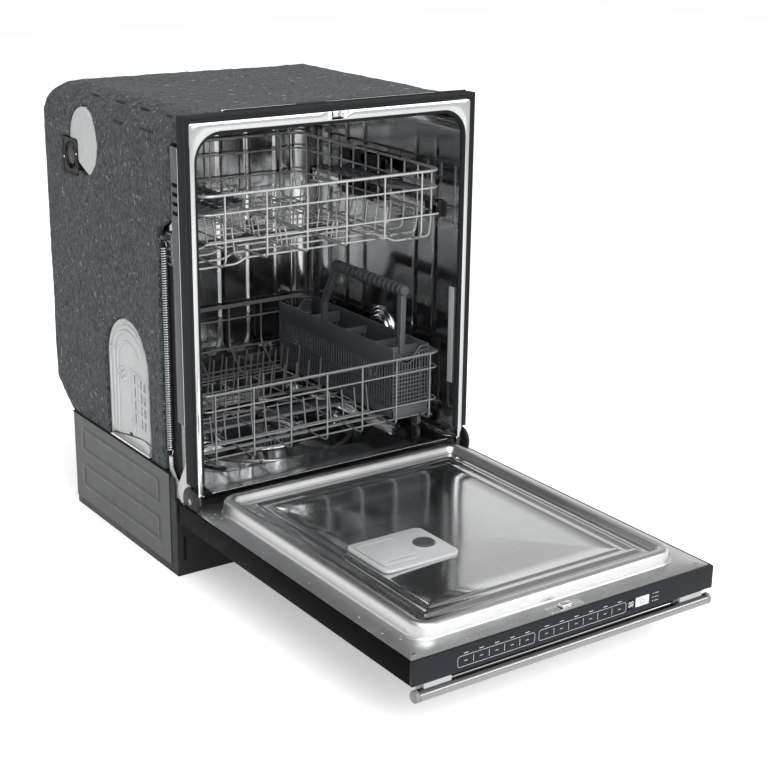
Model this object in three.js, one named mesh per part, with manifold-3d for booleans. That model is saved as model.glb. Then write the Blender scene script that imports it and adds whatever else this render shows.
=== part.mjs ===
// Built-in dishwasher with its door let down and both racks home.
// Millimetres, +Z up, front towards -Y. The pieces are drawn with y = 0 on the tub's front
// flange, x = 0 on the middle plane and z = 0 on the floor, then shifted back or forward
// together so that the origin is the bottom centre of the whole.
import * as THREE from 'three';
import { mergeVertices } from 'three/addons/utils/BufferGeometryUtils.js';
import Module from 'manifold-3d';

const wasm = await Module();
wasm.setup();

// ---------------------------------------------------------------- driving dimensions
const GAP = 0.3; // between neighbouring pieces
const SHEET = 1.5; // pressed steel
const HALF = 300; // half the cabinet's width
const DOOR_HALF = 303;
const TOP = 842; // top of the insulation
const FRAME_TOP = 840;
const REAR = 575; // back of the insulation, behind the flange plane
const REACH = 662; // front of the open door, before the flange plane

const PIVOT = { y: 13.5, z: 164.5 }; // door hinge
const DOOR_FACE = 151; // flange level of the open door
const DOOR_UNDER = 111; // underside of the black door shell
const DOOR_END = 47; // lower end of the door, behind the flange plane when open
const LIP = { half: 262, front: -620, rear: -12, top: 175 };

const FLANGE = { half: 289, top: 829, corner: 58, front: 1 }; // the tub's front edge
const TRIM = { foot: 196, front: 0.6, face: 3, rear: 24 };
const TUB = { half: 280, top: 812, floor: 175, rear: 553.5, corner: 50 };
const BASIN = { half: 226.5, front: 79.5, rear: 478.5, floor: 150 };
const ARM_CENTRE = { x: 0, y: 290 };

const RACK = { front: 34, rear: 539 }; // both racks, home
const LOWER = { half: 257, rim: 345, second: 314, low: 250, bottom: 212 };
const UPPER = { half: 252, rim: 697, second: 665, low: 615, bottom: 566, footHalf: 245 };
const WIRE = 4.5;
const WHEEL = { radius: 13.3, width: 8, x: 252, z: 188.5, rows: [103, 204, 382, 486] };
const TINES = { y: 218, z: 222 }; // axle of the folding row
const RAIL = { low: 600, high: 626, front: 85, rear: 500 };
const BASKET = { x0: 166, x1: 250, y0: 60, y1: 480, z0: 216, z1: 355, wall: 3 };
const SHELF = { hingeX: 241, hingeZ: 655, width: 100, y0: 72, y1: 300, thick: 7, tilt: 10 };
const SPRING = { x: 291, y: 98, low: 222, high: 616, radius: 6.5 };
const COLUMN = { front: 26, rear: 56, low: 300, top: 786 }; // steel channel at each side
const FAN = { y: 457, z: 710, half: 33, radius: 25 };
const VENT_OVAL = { y: 397, z: 745, halfY: 58, halfZ: 62 }; // cut-outs in the insulation
const ARCH = { y0: 165, y1: 338, low: 193.5, top: 440 };
const ARM_REACH = { lower: 208, upper: 228 };
const HANDLE = { y: -658, z: 92.5, radius: 9.8, half: 298 };
const PANEL_FRONT = -606; // the outer panel stops here and leaves a finger recess behind the bar
const DISPENSER = { x0: -185, x1: -35, y0: -425, y1: -305, top: 171 };
const START = { x0: 131.6, x1: 160.2, z0: 121, z1: 137 };

// ---------------------------------------------------------------- solids
function solid(geometry) {
  geometry.deleteAttribute('normal');
  geometry.deleteAttribute('uv');
  const { array } = geometry.attributes.position;
  array.forEach((value, i) => { array[i] = Math.round(value * 500) / 500; }); // faces meet flush
  const merged = mergeVertices(geometry, 1e-4);
  return new wasm.Manifold(new wasm.Mesh({
    numProp: 3,
    vertProperties: new Float32Array(merged.attributes.position.array),
    triVerts: new Uint32Array(merged.index.array),
  }));
}

function block(x0, x1, y0, y1, z0, z1) {
  const geometry = new THREE.BoxGeometry(x1 - x0, y1 - y0, z1 - z0);
  geometry.translate((x0 + x1) / 2, (y0 + y1) / 2, (z0 + z1) / 2);
  return solid(geometry);
}

// A block given by its distances from the middle plane, on the left (side = -1) or right.
function sideBlock(side, inner, outer, y0, y1, z0, z1) {
  const near = Math.min(side * inner, side * outer);
  return block(near, near + outer - inner, y0, y1, z0, z1);
}

const AXES = {
  x: [[0, 1, 0], [0, 0, 1], [1, 0, 0]], // outline drawn in y, z
  y: [[1, 0, 0], [0, 0, 1], [0, -1, 0]], // outline drawn in x, z
  z: [[1, 0, 0], [0, 1, 0], [0, 0, 1]], // outline drawn in x, y
};

function prism(axis, shape, from, to, curveSegments = 6) {
  const geometry = new THREE.ExtrudeGeometry(shape, {
    depth: to - from, bevelEnabled: false, curveSegments,
  });
  geometry.translate(0, 0, axis === 'y' ? -to : from);
  const [u, v, w] = AXES[axis].map((a) => new THREE.Vector3(...a));
  geometry.applyMatrix4(new THREE.Matrix4().makeBasis(u, v, w));
  return solid(geometry);
}

function cylinder(axis, centre, radius, from, to, segments = 24) {
  const shape = new THREE.Shape();
  const step = (2 * Math.PI) / segments;
  const points = Array.from({ length: segments }, (_, i) => new THREE.Vector2(
    centre[0] + radius * Math.cos(i * step), centre[1] + radius * Math.sin(i * step)));
  shape.setFromPoints(points);
  return prism(axis, shape, from, to);
}

function polygon(points) {
  return new THREE.Shape(points.map(([u, v]) => new THREE.Vector2(u, v)));
}

function rounded(u0, u1, v0, v1, low, high = low) {
  const shape = new THREE.Shape();
  shape.moveTo(u0 + low, v0);
  shape.lineTo(u1 - low, v0);
  shape.absarc(u1 - low, v0 + low, low, -Math.PI / 2, 0);
  shape.lineTo(u1, v1 - high);
  shape.absarc(u1 - high, v1 - high, high, 0, Math.PI / 2);
  shape.lineTo(u0 + high, v1);
  shape.absarc(u0 + high, v1 - high, high, Math.PI / 2, Math.PI);
  shape.lineTo(u0, v0 + low);
  shape.absarc(u0 + low, v0 + low, low, Math.PI, 1.5 * Math.PI);
  return shape;
}

// Turned on a vertical axis from a profile of [radius, height] pairs.
function turned(profile, centre, segments = 24) {
  const points = profile.map(([r, z]) => new THREE.Vector2(r, z));
  const geometry = new THREE.LatheGeometry(points, segments);
  geometry.rotateX(Math.PI / 2);
  geometry.translate(centre.x, centre.y, 0);
  return solid(geometry);
}

function union(parts) {
  return parts.reduce((whole, part) => whole.add(part));
}

// A square wire through a list of points, each stretch along one axis or in one plane.
function wire(points, size = WIRE) {
  const runs = [];
  for (let i = 1; i < points.length; i += 1) {
    const start = new THREE.Vector3(...points[i - 1]);
    const end = new THREE.Vector3(...points[i]);
    const length = start.distanceTo(end);
    const along = end.clone().sub(start).divideScalar(length);
    const straight = along.toArray().some((part) => Math.abs(part) > 0.9999);
    const sides = along.toArray().map((part) => (straight ? Math.abs(part) * length : 0) + size);
    const geometry = straight ? new THREE.BoxGeometry(...sides)
      : new THREE.BoxGeometry(size, size, length + size).applyQuaternion(
        new THREE.Quaternion().setFromUnitVectors(new THREE.Vector3(0, 0, 1), along));
    geometry.translate(...start.add(end).multiplyScalar(0.5).toArray());
    runs.push(solid(geometry));
  }
  return union(runs);
}

function loop(half, front, rear, z) {
  return wire([[-half, front, z], [half, front, z], [half, rear, z], [-half, rear, z],
    [-half, front, z]]);
}

function spread(from, to, count) {
  return Array.from({ length: count }, (_, i) => from + ((to - from) * i) / (count - 1));
}

function onBothSides(make) {
  return { left: make(-1), right: make(1) };
}

// ---------------------------------------------------------------- materials
const finish = (color, roughness, metalness, extra = {}) => new THREE.MeshStandardMaterial({
  color, roughness, metalness, ...extra,
});
const STEEL = finish(0xc9cbcc, 0.18, 1);
const BRUSHED = finish(0xa9a8a6, 0.32, 1);
const ZINC = finish(0x85898c, 0.45, 0.9);
const FELT = finish(0x3f4649, 0.95, 0);
const BLACK = finish(0x17181a, 0.45, 0.1);
const CONSOLE = finish(0x26272b, 0.35, 0.1);
const PANEL_GREY = finish(0x5d6163, 0.55, 0.2);
const RUBBER = finish(0x1b1c1d, 0.8, 0);
const WIRE_SILVER = finish(0xa3a6a8, 0.35, 0.6);
const WIRE_GREY = finish(0x7c8083, 0.4, 0.5);
const DARK_PLASTIC = finish(0x3c3f42, 0.55, 0);
const WHITE_PLASTIC = finish(0xe4e5e2, 0.4, 0);
const LIGHT_GREY = finish(0xb9bbbc, 0.35, 0.2);
const KEY = finish(0xc8cacb, 0.4, 0);

// ---------------------------------------------------------------- tub and insulation
function tub() {
  const skin = (grow) => {
    const front = prism('y', rounded(-TUB.half - grow, TUB.half + grow, TUB.floor - grow,
      TUB.top + grow, 20 + grow, TUB.corner + grow), 1, TUB.rear + grow);
    const rear = TUB.rear + grow;
    const foot = TUB.floor - grow;
    const side = prism('x', polygon([[0, foot - 1], [500, foot - 1], [500, foot],
      [rear, foot + 58], [rear, TUB.top + 9], [0, TUB.top + 9]]), -HALF, HALF);
    const basin = block(-BASIN.half - grow, BASIN.half + grow, BASIN.front - grow,
      BASIN.rear + grow, BASIN.floor - grow, TUB.floor + 1);
    return front.intersect(side).add(basin);
  };
  const flange = prism('y', rounded(-FLANGE.half, FLANGE.half, TUB.floor - SHEET, FLANGE.top,
    2, FLANGE.corner), FLANGE.front, FLANGE.front + SHEET);
  const mouth = prism('y', rounded(-TUB.half, TUB.half, TUB.floor, TUB.top, 20, TUB.corner), 0, 9);
  const sumpHole = cylinder('z', [ARM_CENTRE.x, ARM_CENTRE.y], 75, 140, 160, 32);
  const latchSlot = block(-12, 12, 0, 4, 815, 830);
  const shell = skin(SHEET).subtract(skin(0)).subtract(mouth).add(flange.subtract(mouth))
    .subtract(sumpHole).subtract(latchSlot);
  return shell.add(strike());
}

// The loop that the latch bolt enters, welded behind the flange.
function strike() {
  return block(-20, 20, 2, 11, 814.5, 828).subtract(block(-12, 12, 0, 8.5, 814, 829));
}

function ovalShape(grow) {
  const shape = new THREE.Shape();
  shape.absellipse(VENT_OVAL.y, VENT_OVAL.z, VENT_OVAL.halfY + grow, VENT_OVAL.halfZ + grow,
    0, 2 * Math.PI);
  return shape;
}

function archShape(grow) {
  const radius = (ARCH.y1 - ARCH.y0) / 2;
  const shape = new THREE.Shape();
  shape.moveTo(ARCH.y0 - grow, ARCH.low - grow * 20);
  shape.lineTo(ARCH.y1 + grow, ARCH.low - grow * 20);
  shape.lineTo(ARCH.y1 + grow, ARCH.top - radius);
  shape.absarc(ARCH.y0 + radius, ARCH.top - radius, radius + grow, 0, Math.PI);
  return shape;
}

function fanBox(grow) {
  const half = FAN.half + grow;
  return block(-HALF - 1, -TUB.half, FAN.y - half, FAN.y + half, FAN.z - half, FAN.z + half);
}

function insulation() {
  const outer = prism('y', rounded(-HALF, HALF, 190, TOP, 1, 60), 24.5, REAR);
  const profile = new THREE.Shape();
  profile.moveTo(20, 180);
  profile.lineTo(500, 190);
  profile.lineTo(REAR, 245);
  profile.lineTo(REAR, TOP - 70);
  profile.absarc(REAR - 70, TOP - 70, 70, 0, Math.PI / 2);
  profile.lineTo(20, TOP);
  const body = outer.intersect(prism('x', profile, -HALF, HALF));
  const room = SHEET + GAP;
  const hollow = prism('y', rounded(-TUB.half - room, TUB.half + room, 100, TUB.top + room,
    20, TUB.corner + room), 0, TUB.rear + room);
  const opening = polygon([[20, 180], [108, 180], [108, 636], [64, 660], [COLUMN.rear + 2, 672],
    [COLUMN.rear + 2, COLUMN.top + 4], [20, COLUMN.top + 4]]);
  const columns = [prism('x', opening, -310, -270), prism('x', opening, 270, 310)];
  const cuts = [hollow, ...columns, prism('x', ovalShape(1), -310, -270),
    prism('x', archShape(1), -310, -270), fanBox(1)];
  return cuts.reduce((left, cut) => left.subtract(cut), body);
}

// ---------------------------------------------------------------- cabinet trim and steel
function trimSide(side) {
  const inner = side * (FLANGE.half + GAP);
  const outer = side * HALF;
  const mitred = polygon([[inner, TRIM.foot], [outer, TRIM.foot], [outer, FRAME_TOP - 0.6],
    [inner, FLANGE.top - GAP]]);
  const lip = sideBlock(side, HALF - SHEET, HALF, TRIM.front + 1.4, TRIM.rear, TRIM.foot, 832);
  return prism('y', mitred, TRIM.front, TRIM.face).add(lip);
}

function trimTop() {
  const inner = FLANGE.half - GAP;
  const mitred = polygon([[-inner, FLANGE.top + GAP], [inner, FLANGE.top + GAP],
    [HALF - 0.6, FRAME_TOP], [0.6 - HALF, FRAME_TOP]]);
  const lip = block(-296, 296, TRIM.front + 1.4, TRIM.rear, FRAME_TOP - SHEET, FRAME_TOP);
  return prism('y', mitred, TRIM.front, TRIM.face).add(lip);
}

function doorSeal() {
  const outer = prism('y', rounded(-279.7, 279.7, 150, 811.7, 1, 49.7), 1.2, 12);
  const inner = prism('y', rounded(-268.5, 268.5, 140, 801.5, 1, 40), 0, 14);
  const below = block(-HALF, HALF, -1, 20, 140, 196);
  return outer.subtract(inner).subtract(below);
}

function hingeFrame(side) {
  const { front, rear, low, top } = COLUMN;
  const back = sideBlock(side, 281.8, 283.8, front, 68, 155.5, low + 20);
  const plate = sideBlock(side, 281.8, 288.5, 5.5, 68, 155.5, 198);
  const flanges = [front, rear - 2].map((y) => sideBlock(side, 282, 297, y, y + 2, low, top));
  const outer = sideBlock(side, 295, 297, front, rear, low, top);
  const bracket = sideBlock(side, 281.8, 283.8, rear - 4, SPRING.y + 6, 572, SPRING.high + 16);
  const hook = sideBlock(side, 283, 296, SPRING.y - 4, SPRING.y + 4, SPRING.high + 3,
    SPRING.high + 9);
  const slots = spread(674, 722, 4).map((z) => sideBlock(side, 290, 300, 33, rear - 4, z - 3.5,
    z + 3.5));
  const bore = cylinder('x', [PIVOT.y, PIVOT.z], 6, -HALF, HALF);
  return slots.reduce((left, slot) => left.subtract(slot),
    union([back, plate, ...flanges, outer, bracket, hook])).subtract(bore);
}

function doorSpring(side) {
  const turns = 12;
  const end = 8;
  const pitch = (SPRING.high - SPRING.low - 2 * end) / turns;
  const profile = [[0, SPRING.low], [3, SPRING.low]];
  for (let i = 0; i < turns; i += 1) {
    const z = SPRING.low + end + i * pitch;
    profile.push([SPRING.radius - 1.6, z], [SPRING.radius, z + pitch / 2]);
  }
  profile.push([SPRING.radius - 1.6, SPRING.high - end], [3, SPRING.high], [0, SPRING.high]);
  return turned(profile, { x: side * SPRING.x, y: SPRING.y }, 6);
}

// The strap runs down from the spring and forward to the hinge.
function springLink(side) {
  const top = SPRING.low - GAP;
  const strap = polygon([[SPRING.y - 5, top], [SPRING.y - 5, 201], [78, 184], [54, 176], [50, 153],
    [84, 153], [SPRING.y + 5, 192], [SPRING.y + 5, top]]);
  return prism('x', strap, side * SPRING.x - 1.5, side * SPRING.x + 1.5)
    .subtract(cylinder('x', [SPRING.y, 205], 2.5, -HALF, HALF, 12));
}

// ---------------------------------------------------------------- side of the tub
function ventDuct() {
  const dome = prism('x', ovalShape(0), -296, -282);
  const rim = prism('x', ovalShape(-10), -298.5, -290);
  return dome.add(rim).subtract(fanBox(GAP));
}

function fanHousing() {
  const opening = cylinder('x', [FAN.y, FAN.z], FAN.radius, -HALF, -284);
  const half = FAN.half;
  return block(-299, -282, FAN.y - half, FAN.y + half, FAN.z - half, FAN.z + half)
    .subtract(opening)
    .add(cylinder('x', [FAN.y, FAN.z], 3, -292, -283, 12));
}

function fanRotor() {
  const hub = cylinder('x', [FAN.y, FAN.z], 9, -297, -288, 16)
    .subtract(cylinder('x', [FAN.y, FAN.z], 3.4, -294, -280, 12));
  const blades = Array.from({ length: 7 }, (_, i) => {
    const geometry = new THREE.BoxGeometry(7, 15, 1.2);
    geometry.rotateY(0.5);
    geometry.translate(-292, 15.5, 0);
    geometry.rotateX((i * 2 * Math.PI) / 7);
    geometry.translate(0, FAN.y, FAN.z);
    return solid(geometry);
  });
  return union([hub, ...blades]);
}

function fillChamber() {
  const body = prism('x', archShape(0), -294, -282);
  const ribs = spread(ARCH.y0 + 25, ARCH.y1 - 25, 5)
    .map((y) => block(-297.5, -293, y - 2, y + 2, 215, 385));
  const port = cylinder('x', [280, 255], 22, -297.5, -293, 16);
  return union([body, ...ribs, port]);
}

function wallVent() {
  const at = [262.5, 333];
  const disc = cylinder('x', at, 45, 273, 279.7, 28).add(cylinder('x', at, 36, 269, 274, 28));
  const holes = Array.from({ length: 6 }, (_, i) => cylinder('x',
    [at[0] + 17 * Math.cos(i * Math.PI / 3), at[1] + 17 * Math.sin(i * Math.PI / 3)],
    6, 260, 277, 10));
  return [cylinder('x', at, 6, 260, 277, 10), ...holes]
    .reduce((left, hole) => left.subtract(hole), disc);
}

// ---------------------------------------------------------------- base and machinery
function basePan() {
  const floor = block(-HALF, HALF, 66, 497, 0, 4);
  const toe = block(-HALF, HALF, 66, 70, 0, 146)
    .subtract(block(-287, -283, 60, 75, 30, 75))
    .subtract(block(283, 287, 60, 75, 30, 75));
  const sides = [-1, 1].map((side) => sideBlock(side, 297.3, HALF, 70, 497, 0, 189.5));
  const back = block(-HALF, HALF, 493, 497, 0, 60);
  return union([floor, toe, ...sides, back]);
}

function sidePanel(side) {
  const skin = sideBlock(side, HALF + GAP, HALF + 1.8, 90, 497, 16, 193);
  const frames = [44, 126].map((z) => sideBlock(side, HALF + 1, HALF + 2.8, 122, 465, z, z + 44)
    .subtract(sideBlock(side, HALF, HALF + 4, 128, 459, z + 6, z + 38)));
  return union([skin, ...frames]);
}

function sump() {
  return turned([[0, 60], [74, 60], [74, 149.7], [71, 149.7], [71, 64], [13, 64],
    [13, 176.7], [7.8, 176.7], [7.8, 183], [0, 183]], ARM_CENTRE, 32);
}

function filter() {
  const centre = { x: ARM_CENTRE.x + 42, y: ARM_CENTRE.y };
  const cup = turned([[0, 64.5], [25, 64.5], [25, 140], [27.5, 140], [27.5, 150], [0, 150]],
    centre, 20);
  const grip = block(centre.x - 3, centre.x + 3, centre.y - 18, centre.y + 18, 149, 160);
  return cup.add(grip);
}

function washPump() {
  const volute = cylinder('x', [ARM_CENTRE.y, 78], 46, 76, 112, 28);
  const motor = cylinder('x', [ARM_CENTRE.y, 78], 38, 110, 205, 28);
  const cap = cylinder('x', [ARM_CENTRE.y, 78], 26, 204, 216, 20);
  return union([volute, motor, cap, block(130, 185, ARM_CENTRE.y - 25, ARM_CENTRE.y + 25, 4.3, 60)]);
}

function heater() {
  const radius = 180;
  const half = 4;
  const ring = turned([[radius - half, 158], [radius + half, 158], [radius + half, 166],
    [radius - half, 166], [radius - half, 158]], { x: 0, y: 280 }, 40);
  const legs = spread(0, Math.PI * 4 / 3, 3).map((turn) => {
    const x = radius * Math.cos(turn);
    const y = 280 + radius * Math.sin(turn);
    return block(x - 3, x + 3, y - 3, y + 3, BASIN.floor + GAP, 160);
  });
  return union([ring, ...legs]);
}

function float() {
  return turned([[0, 150.3], [19, 150.3], [19, 158], [12, 163], [0, 164]], { x: -155, y: 115 }, 20);
}

// A spray arm's flat blade with two jets' rows raised on it.
function sprayArm(centre, reach, z0, z1) {
  const blade = new THREE.Shape();
  blade.moveTo(-reach + 14, -14);
  blade.lineTo(0, -24);
  blade.lineTo(reach - 14, -14);
  blade.absarc(reach - 14, 0, 14, -Math.PI / 2, Math.PI / 2);
  blade.lineTo(0, 24);
  blade.lineTo(-reach + 14, 14);
  blade.absarc(-reach + 14, 0, 14, Math.PI / 2, 1.5 * Math.PI);
  const jets = [-0.85, -0.55, 0.55, 0.85].map((part) => cylinder('z', [part * reach, 0], 4,
    z1 - 1, z1 + 1.5, 8));
  return union([prism('z', blade, z0, z1), ...jets]).translate([centre.x, centre.y, 0]);
}

function lowerSprayArm() {
  const hole = cylinder('z', [ARM_CENTRE.x, ARM_CENTRE.y], 8.4, 170, 185);
  return sprayArm(ARM_CENTRE, ARM_REACH.lower, 177, 189).subtract(hole);
}

// ---------------------------------------------------------------- upper rack and its rails
function railFixed(side) {
  return sideBlock(side, 268.3, 279.7, 70, 520, RAIL.low, RAIL.high)
    .subtract(sideBlock(side, 260, 275, 60, 530, RAIL.low + 6, RAIL.high - 6));
}

function railMiddle(side) {
  return sideBlock(side, 262.5, 268, RAIL.front, RAIL.rear, RAIL.low, RAIL.high)
    .subtract(sideBlock(side, 261, 265, RAIL.front + 12, RAIL.rear - 12, RAIL.low + 6, RAIL.high - 6));
}

function heightAdjuster(side) {
  const plate = sideBlock(side, 255.3, 262.2, 231, 391, 603, 690);
  const windows = [[245, 285], [337, 377]].map(([y0, y1]) => sideBlock(side, 250, 259, y0, y1,
    612, 655));
  const lever = sideBlock(side, 255.3, 262.2, 215, 235, 640, 682);
  return windows.reduce((left, cut) => left.subtract(cut), plate.add(lever));
}

function upperRack() {
  const { half, rim, second, low, bottom, footHalf } = UPPER;
  const { front, rear } = RACK;
  const middle = (front + rear) / 2;
  const parts = [rim, second, low].map((z) => loop(half, front, rear, z));
  for (const y of [110, 200, middle, 375, 465]) {
    parts.push(wire([[-half, y, rim], [-half, y, low], [-footHalf, y, bottom],
      [footHalf, y, bottom], [half, y, low], [half, y, rim]]));
  }
  for (const x of spread(-160, 160, 3)) {
    parts.push(wire([[x, front, rim], [x, front, bottom], [x, rear, bottom], [x, rear, rim]]));
  }
  for (const x of [-160, 160]) {
    for (const y of spread(130, 440, 4)) {
      parts.push(wire([[x, y, bottom], [x, y, bottom + 62]], 3.5));
    }
  }
  const hub = cylinder('z', [0, middle], 13, 557.3, bottom, 16);
  const pin = cylinder('z', [0, middle], 5, 549, 558, 16);
  return union([...parts, hub, pin]);
}

function upperSprayArm() {
  const middle = (RACK.front + RACK.rear) / 2;
  const hole = cylinder('z', [0, middle], 5.4, 548, 570, 16);
  return sprayArm({ x: 0, y: middle }, ARM_REACH.upper, 545, 555).subtract(hole);
}

function cupShelf(side) {
  const { hingeX, hingeZ, width, y0, y1, thick, tilt } = SHELF;
  const slab = block(0, width, y0, y1, -thick / 2, thick / 2);
  const bay = (y1 - y0 - 8) / 6;
  const windows = [];
  for (let i = 0; i < 6; i += 1) {
    for (const [x0, x1] of [[8, 44], [52, 84]]) {
      const start = y0 + 8 + i * bay;
      windows.push(block(x0, x1, start, start + bay - 8, -thick, thick));
    }
  }
  const scallops = spread(y0 + 26, y1 - 26, 6)
    .map((y) => cylinder('z', [width + 4, y], 13, -thick, thick, 12));
  const flat = [...windows, ...scallops].reduce((left, cut) => left.subtract(cut), slab);
  const raised = flat.rotate([0, -tilt, 0]);
  const placed = raised.translate([-hingeX, 0, hingeZ]);
  return side < 0 ? placed : placed.mirror([1, 0, 0]);
}

// ---------------------------------------------------------------- lower rack
function lowerRack() {
  const { half, rim, second, low, bottom } = LOWER;
  const { front, rear } = RACK;
  const knee = 40; // height of the sloped part at the back
  const parts = [rim, second, low].map((z) => loop(half, front, rear, z));
  for (const y of [...WHEEL.rows, 293]) {
    parts.push(wire([[-half, y, rim], [-half, y, bottom], [half, y, bottom], [half, y, rim]]));
  }
  for (const x of spread(-210, 210, 4)) {
    parts.push(wire([[x, front, rim], [x, front, bottom], [x, rear - knee, bottom],
      [x, rear, bottom + knee], [x, rear, rim]]));
  }
  for (const side of [-1, 1]) {
    for (const y of WHEEL.rows) {
      parts.push(sideBlock(side, 240.5, 245.5, y - 3, y + 3, WHEEL.z - 5, bottom));
      parts.push(cylinder('x', [y, WHEEL.z], 3, side < 0 ? -257 : 241, side < 0 ? -241 : 257, 8));
      parts.push(cylinder('x', [y, WHEEL.z], 5, side < 0 ? -258.5 : 256.5,
        side < 0 ? -256.5 : 258.5, 8));
    }
  }
  for (const x of spread(-210, 126, 5)) {
    parts.push(wire([[x, 382, bottom], [x, 382, bottom + 75]], 3.5));
  }
  for (const x of [-210, -42]) {
    parts.push(block(x - 6, x + 6, 204, 226, bottom - 2, TINES.z - 3.2));
  }
  return union(parts);
}

function foldingTines() {
  const { y, z } = TINES;
  const axle = wire([[-228, y, z], [-24, y, z]], 4);
  const tines = spread(-224, -28, 8).map((x) => wire([[x, y, z], [x, y, z + 76]], 3.5));
  return union([axle, ...tines]);
}

function wheel(side, y) {
  const inner = WHEEL.x - WHEEL.width / 2;
  const outer = WHEEL.x + WHEEL.width / 2;
  const span = side < 0 ? [-outer, -inner] : [inner, outer];
  const tread = cylinder('x', [y, WHEEL.z], WHEEL.radius, span[0], span[1], 16);
  return tread.subtract(cylinder('x', [y, WHEEL.z], 3.3, -HALF, HALF, 12));
}

function silverwareBasket() {
  const { x0, x1, y0, y1, z0, z1, wall } = BASKET;
  const box = block(x0, x1, y0, y1, z0, z1)
    .subtract(block(x0 + wall, x1 - wall, y0 + wall, y1 - wall, z0 + wall, z1 + 1));
  const bays = spread(y0 + 16, y1 - 52, 8);
  const cuts = [];
  for (const y of bays) {
    cuts.push(block(x0 - 5, x1 + 5, y, y + 36, z0 + 14, z0 + 52));
    cuts.push(block(x0 - 5, x1 + 5, y, y + 36, z0 + 60, z0 + 98));
  }
  cuts.push(block(x0 + 14, x1 - 14, y0 - 5, y1 + 5, z0 + 14, z0 + 98));
  cuts.push(cylinder('y', [x0 + 34, z1 + 22], 30, y0 - 5, y0 + 8, 16));
  const walls = cuts.reduce((left, cut) => left.subtract(cut), box);
  const dividers = [165, 270, 375].map((y) => block(x0 + 1, x1 - 1, y, y + 2.5, z0 + 1, z1 - 12));
  const middle = (x0 + x1) / 2;
  const arm = (points) => wire(points, 14);
  const handle = [
    arm([[middle, 97, z1 - 20], [middle, 92, 455]]),
    arm([[middle, 376, z1 - 20], [middle, 376, z1 + 22], [middle, 322, 455]]),
    cylinder('y', [middle, 460], 12, 84, 330, 16),
    block(x0 + 1, x1 - 1, 93, 101, z1 - 30, z1 - 8),
    block(x0 + 1, x1 - 1, 372, 380, z1 - 30, z1 - 8),
  ];
  return union([walls, ...dividers, ...handle]);
}

// ---------------------------------------------------------------- door
function doorLiner() {
  const plate = block(-299.7, 299.7, -654.9, DOOR_END - 3.3, DOOR_FACE - SHEET, DOOR_FACE);
  const rise = (grow, low, high) => prism('z', rounded(-LIP.half + grow, LIP.half - grow,
    LIP.front + grow, LIP.rear - grow, 34 - grow), low, high);
  const panel = (grow, low) => prism('z', rounded(-238 - grow, 238 + grow, -596 - grow,
    -34 + grow, 30 + grow), low, LIP.top + 2);
  const outer = plate.add(rise(0, DOOR_FACE - SHEET, LIP.top)).subtract(panel(0, 165));
  const under = rise(SHEET, 140, LIP.top - SHEET).subtract(panel(SHEET, 165 - SHEET));
  const notches = [-1, 1].map((side) => sideBlock(side, 293.5, HALF, -16, 50, 140, 160));
  const latchHole = block(-10.4, 10.4, -649.4, -637.6, 140, 160);
  return [under, ...notches, latchHole].reduce((left, cut) => left.subtract(cut), outer);
}

function doorShell() {
  const outer = block(-DOOR_HALF, DOOR_HALF, -655, DOOR_END, DOOR_UNDER, DOOR_FACE);
  const inner = block(-HALF, HALF, -670, DOOR_END - 3, DOOR_UNDER - 5, DOOR_FACE + 5);
  const bar = block(-HALF - 1, HALF + 1, -612, -608, DOOR_UNDER + 4, DOOR_FACE - 8);
  return outer.subtract(inner).add(bar);
}

function outerPanel() {
  const half = DOOR_HALF - 1;
  const pan = block(-half, half, PANEL_FRONT, DOOR_END - 1, DOOR_UNDER - 6, DOOR_UNDER - GAP);
  return pan.subtract(block(-half + SHEET, half - SHEET, PANEL_FRONT + SHEET,
    DOOR_END - 1 - SHEET, DOOR_UNDER - 6 + SHEET, DOOR_UNDER + 5));
}

function consoleStrip() {
  const face = block(-DOOR_HALF, DOOR_HALF, -REACH + 0.5, -655.3, DOOR_UNDER, DOOR_FACE);
  const box = block(-250, 250, -656, -625, DOOR_UNDER + 5, DOOR_FACE - 12);
  const hollow = block(-247, 247, -652, -620, DOOR_UNDER + 8, DOOR_FACE - 15);
  const pocket = block(START.x0 - GAP, START.x1 + GAP, -REACH - 1, -657.5,
    START.z0 - GAP, START.z1 + GAP);
  return union([face, box]).subtract(hollow).subtract(pocket);
}

function startKey() {
  return block(START.x0, START.x1, -REACH, -658.3, START.z0, START.z1);
}

function handleBar() {
  return cylinder('x', [HANDLE.y, HANDLE.z], HANDLE.radius, -HANDLE.half, HANDLE.half, 24);
}

function handlePost(side) {
  const post = sideBlock(side, 231, 281, -661, -640, HANDLE.z - 7, DOOR_UNDER - GAP);
  return post.subtract(cylinder('x', [HANDLE.y, HANDLE.z], HANDLE.radius + 0.4, -HALF, HALF, 24));
}

function hingeArm(side) {
  const plate = prism('x', polygon([[40, 118], [40, 140], [25, 158], [25, 164], [2, 164],
    [2, 158], [-6, 146], [-90, 146], [-90, 118]]), 0, 5.5)
    .translate([side < 0 ? -299.7 : 294.2, 0, 0]);
  const head = cylinder('x', [PIVOT.y, PIVOT.z], 26, side < 0 ? -299.7 : 294.2,
    side < 0 ? -294.2 : 299.7, 32);
  const pin = cylinder('x', [PIVOT.y, PIVOT.z], 5.85, side < 0 ? -295 : 284.5,
    side < 0 ? -284.5 : 295, 24);
  return union([plate, head, pin]);
}

function latchBolt() {
  return block(-10, 10, -649, -638, 143.5, 157.5);
}

function dispenserBody() {
  const { x0, x1, y0, y1, top } = DISPENSER;
  const plate = block(x0, x1, y0, y1, 165.3, top);
  const cup = block(x0 + 14, x0 + 80, y0 + 20, y1 - 20, 167.5, top + 1);
  const cap = cylinder('z', [x1 - 32, (y0 + y1) / 2], 19, top - 1, top + 3, 20);
  return plate.subtract(cup).add(cap);
}

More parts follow.
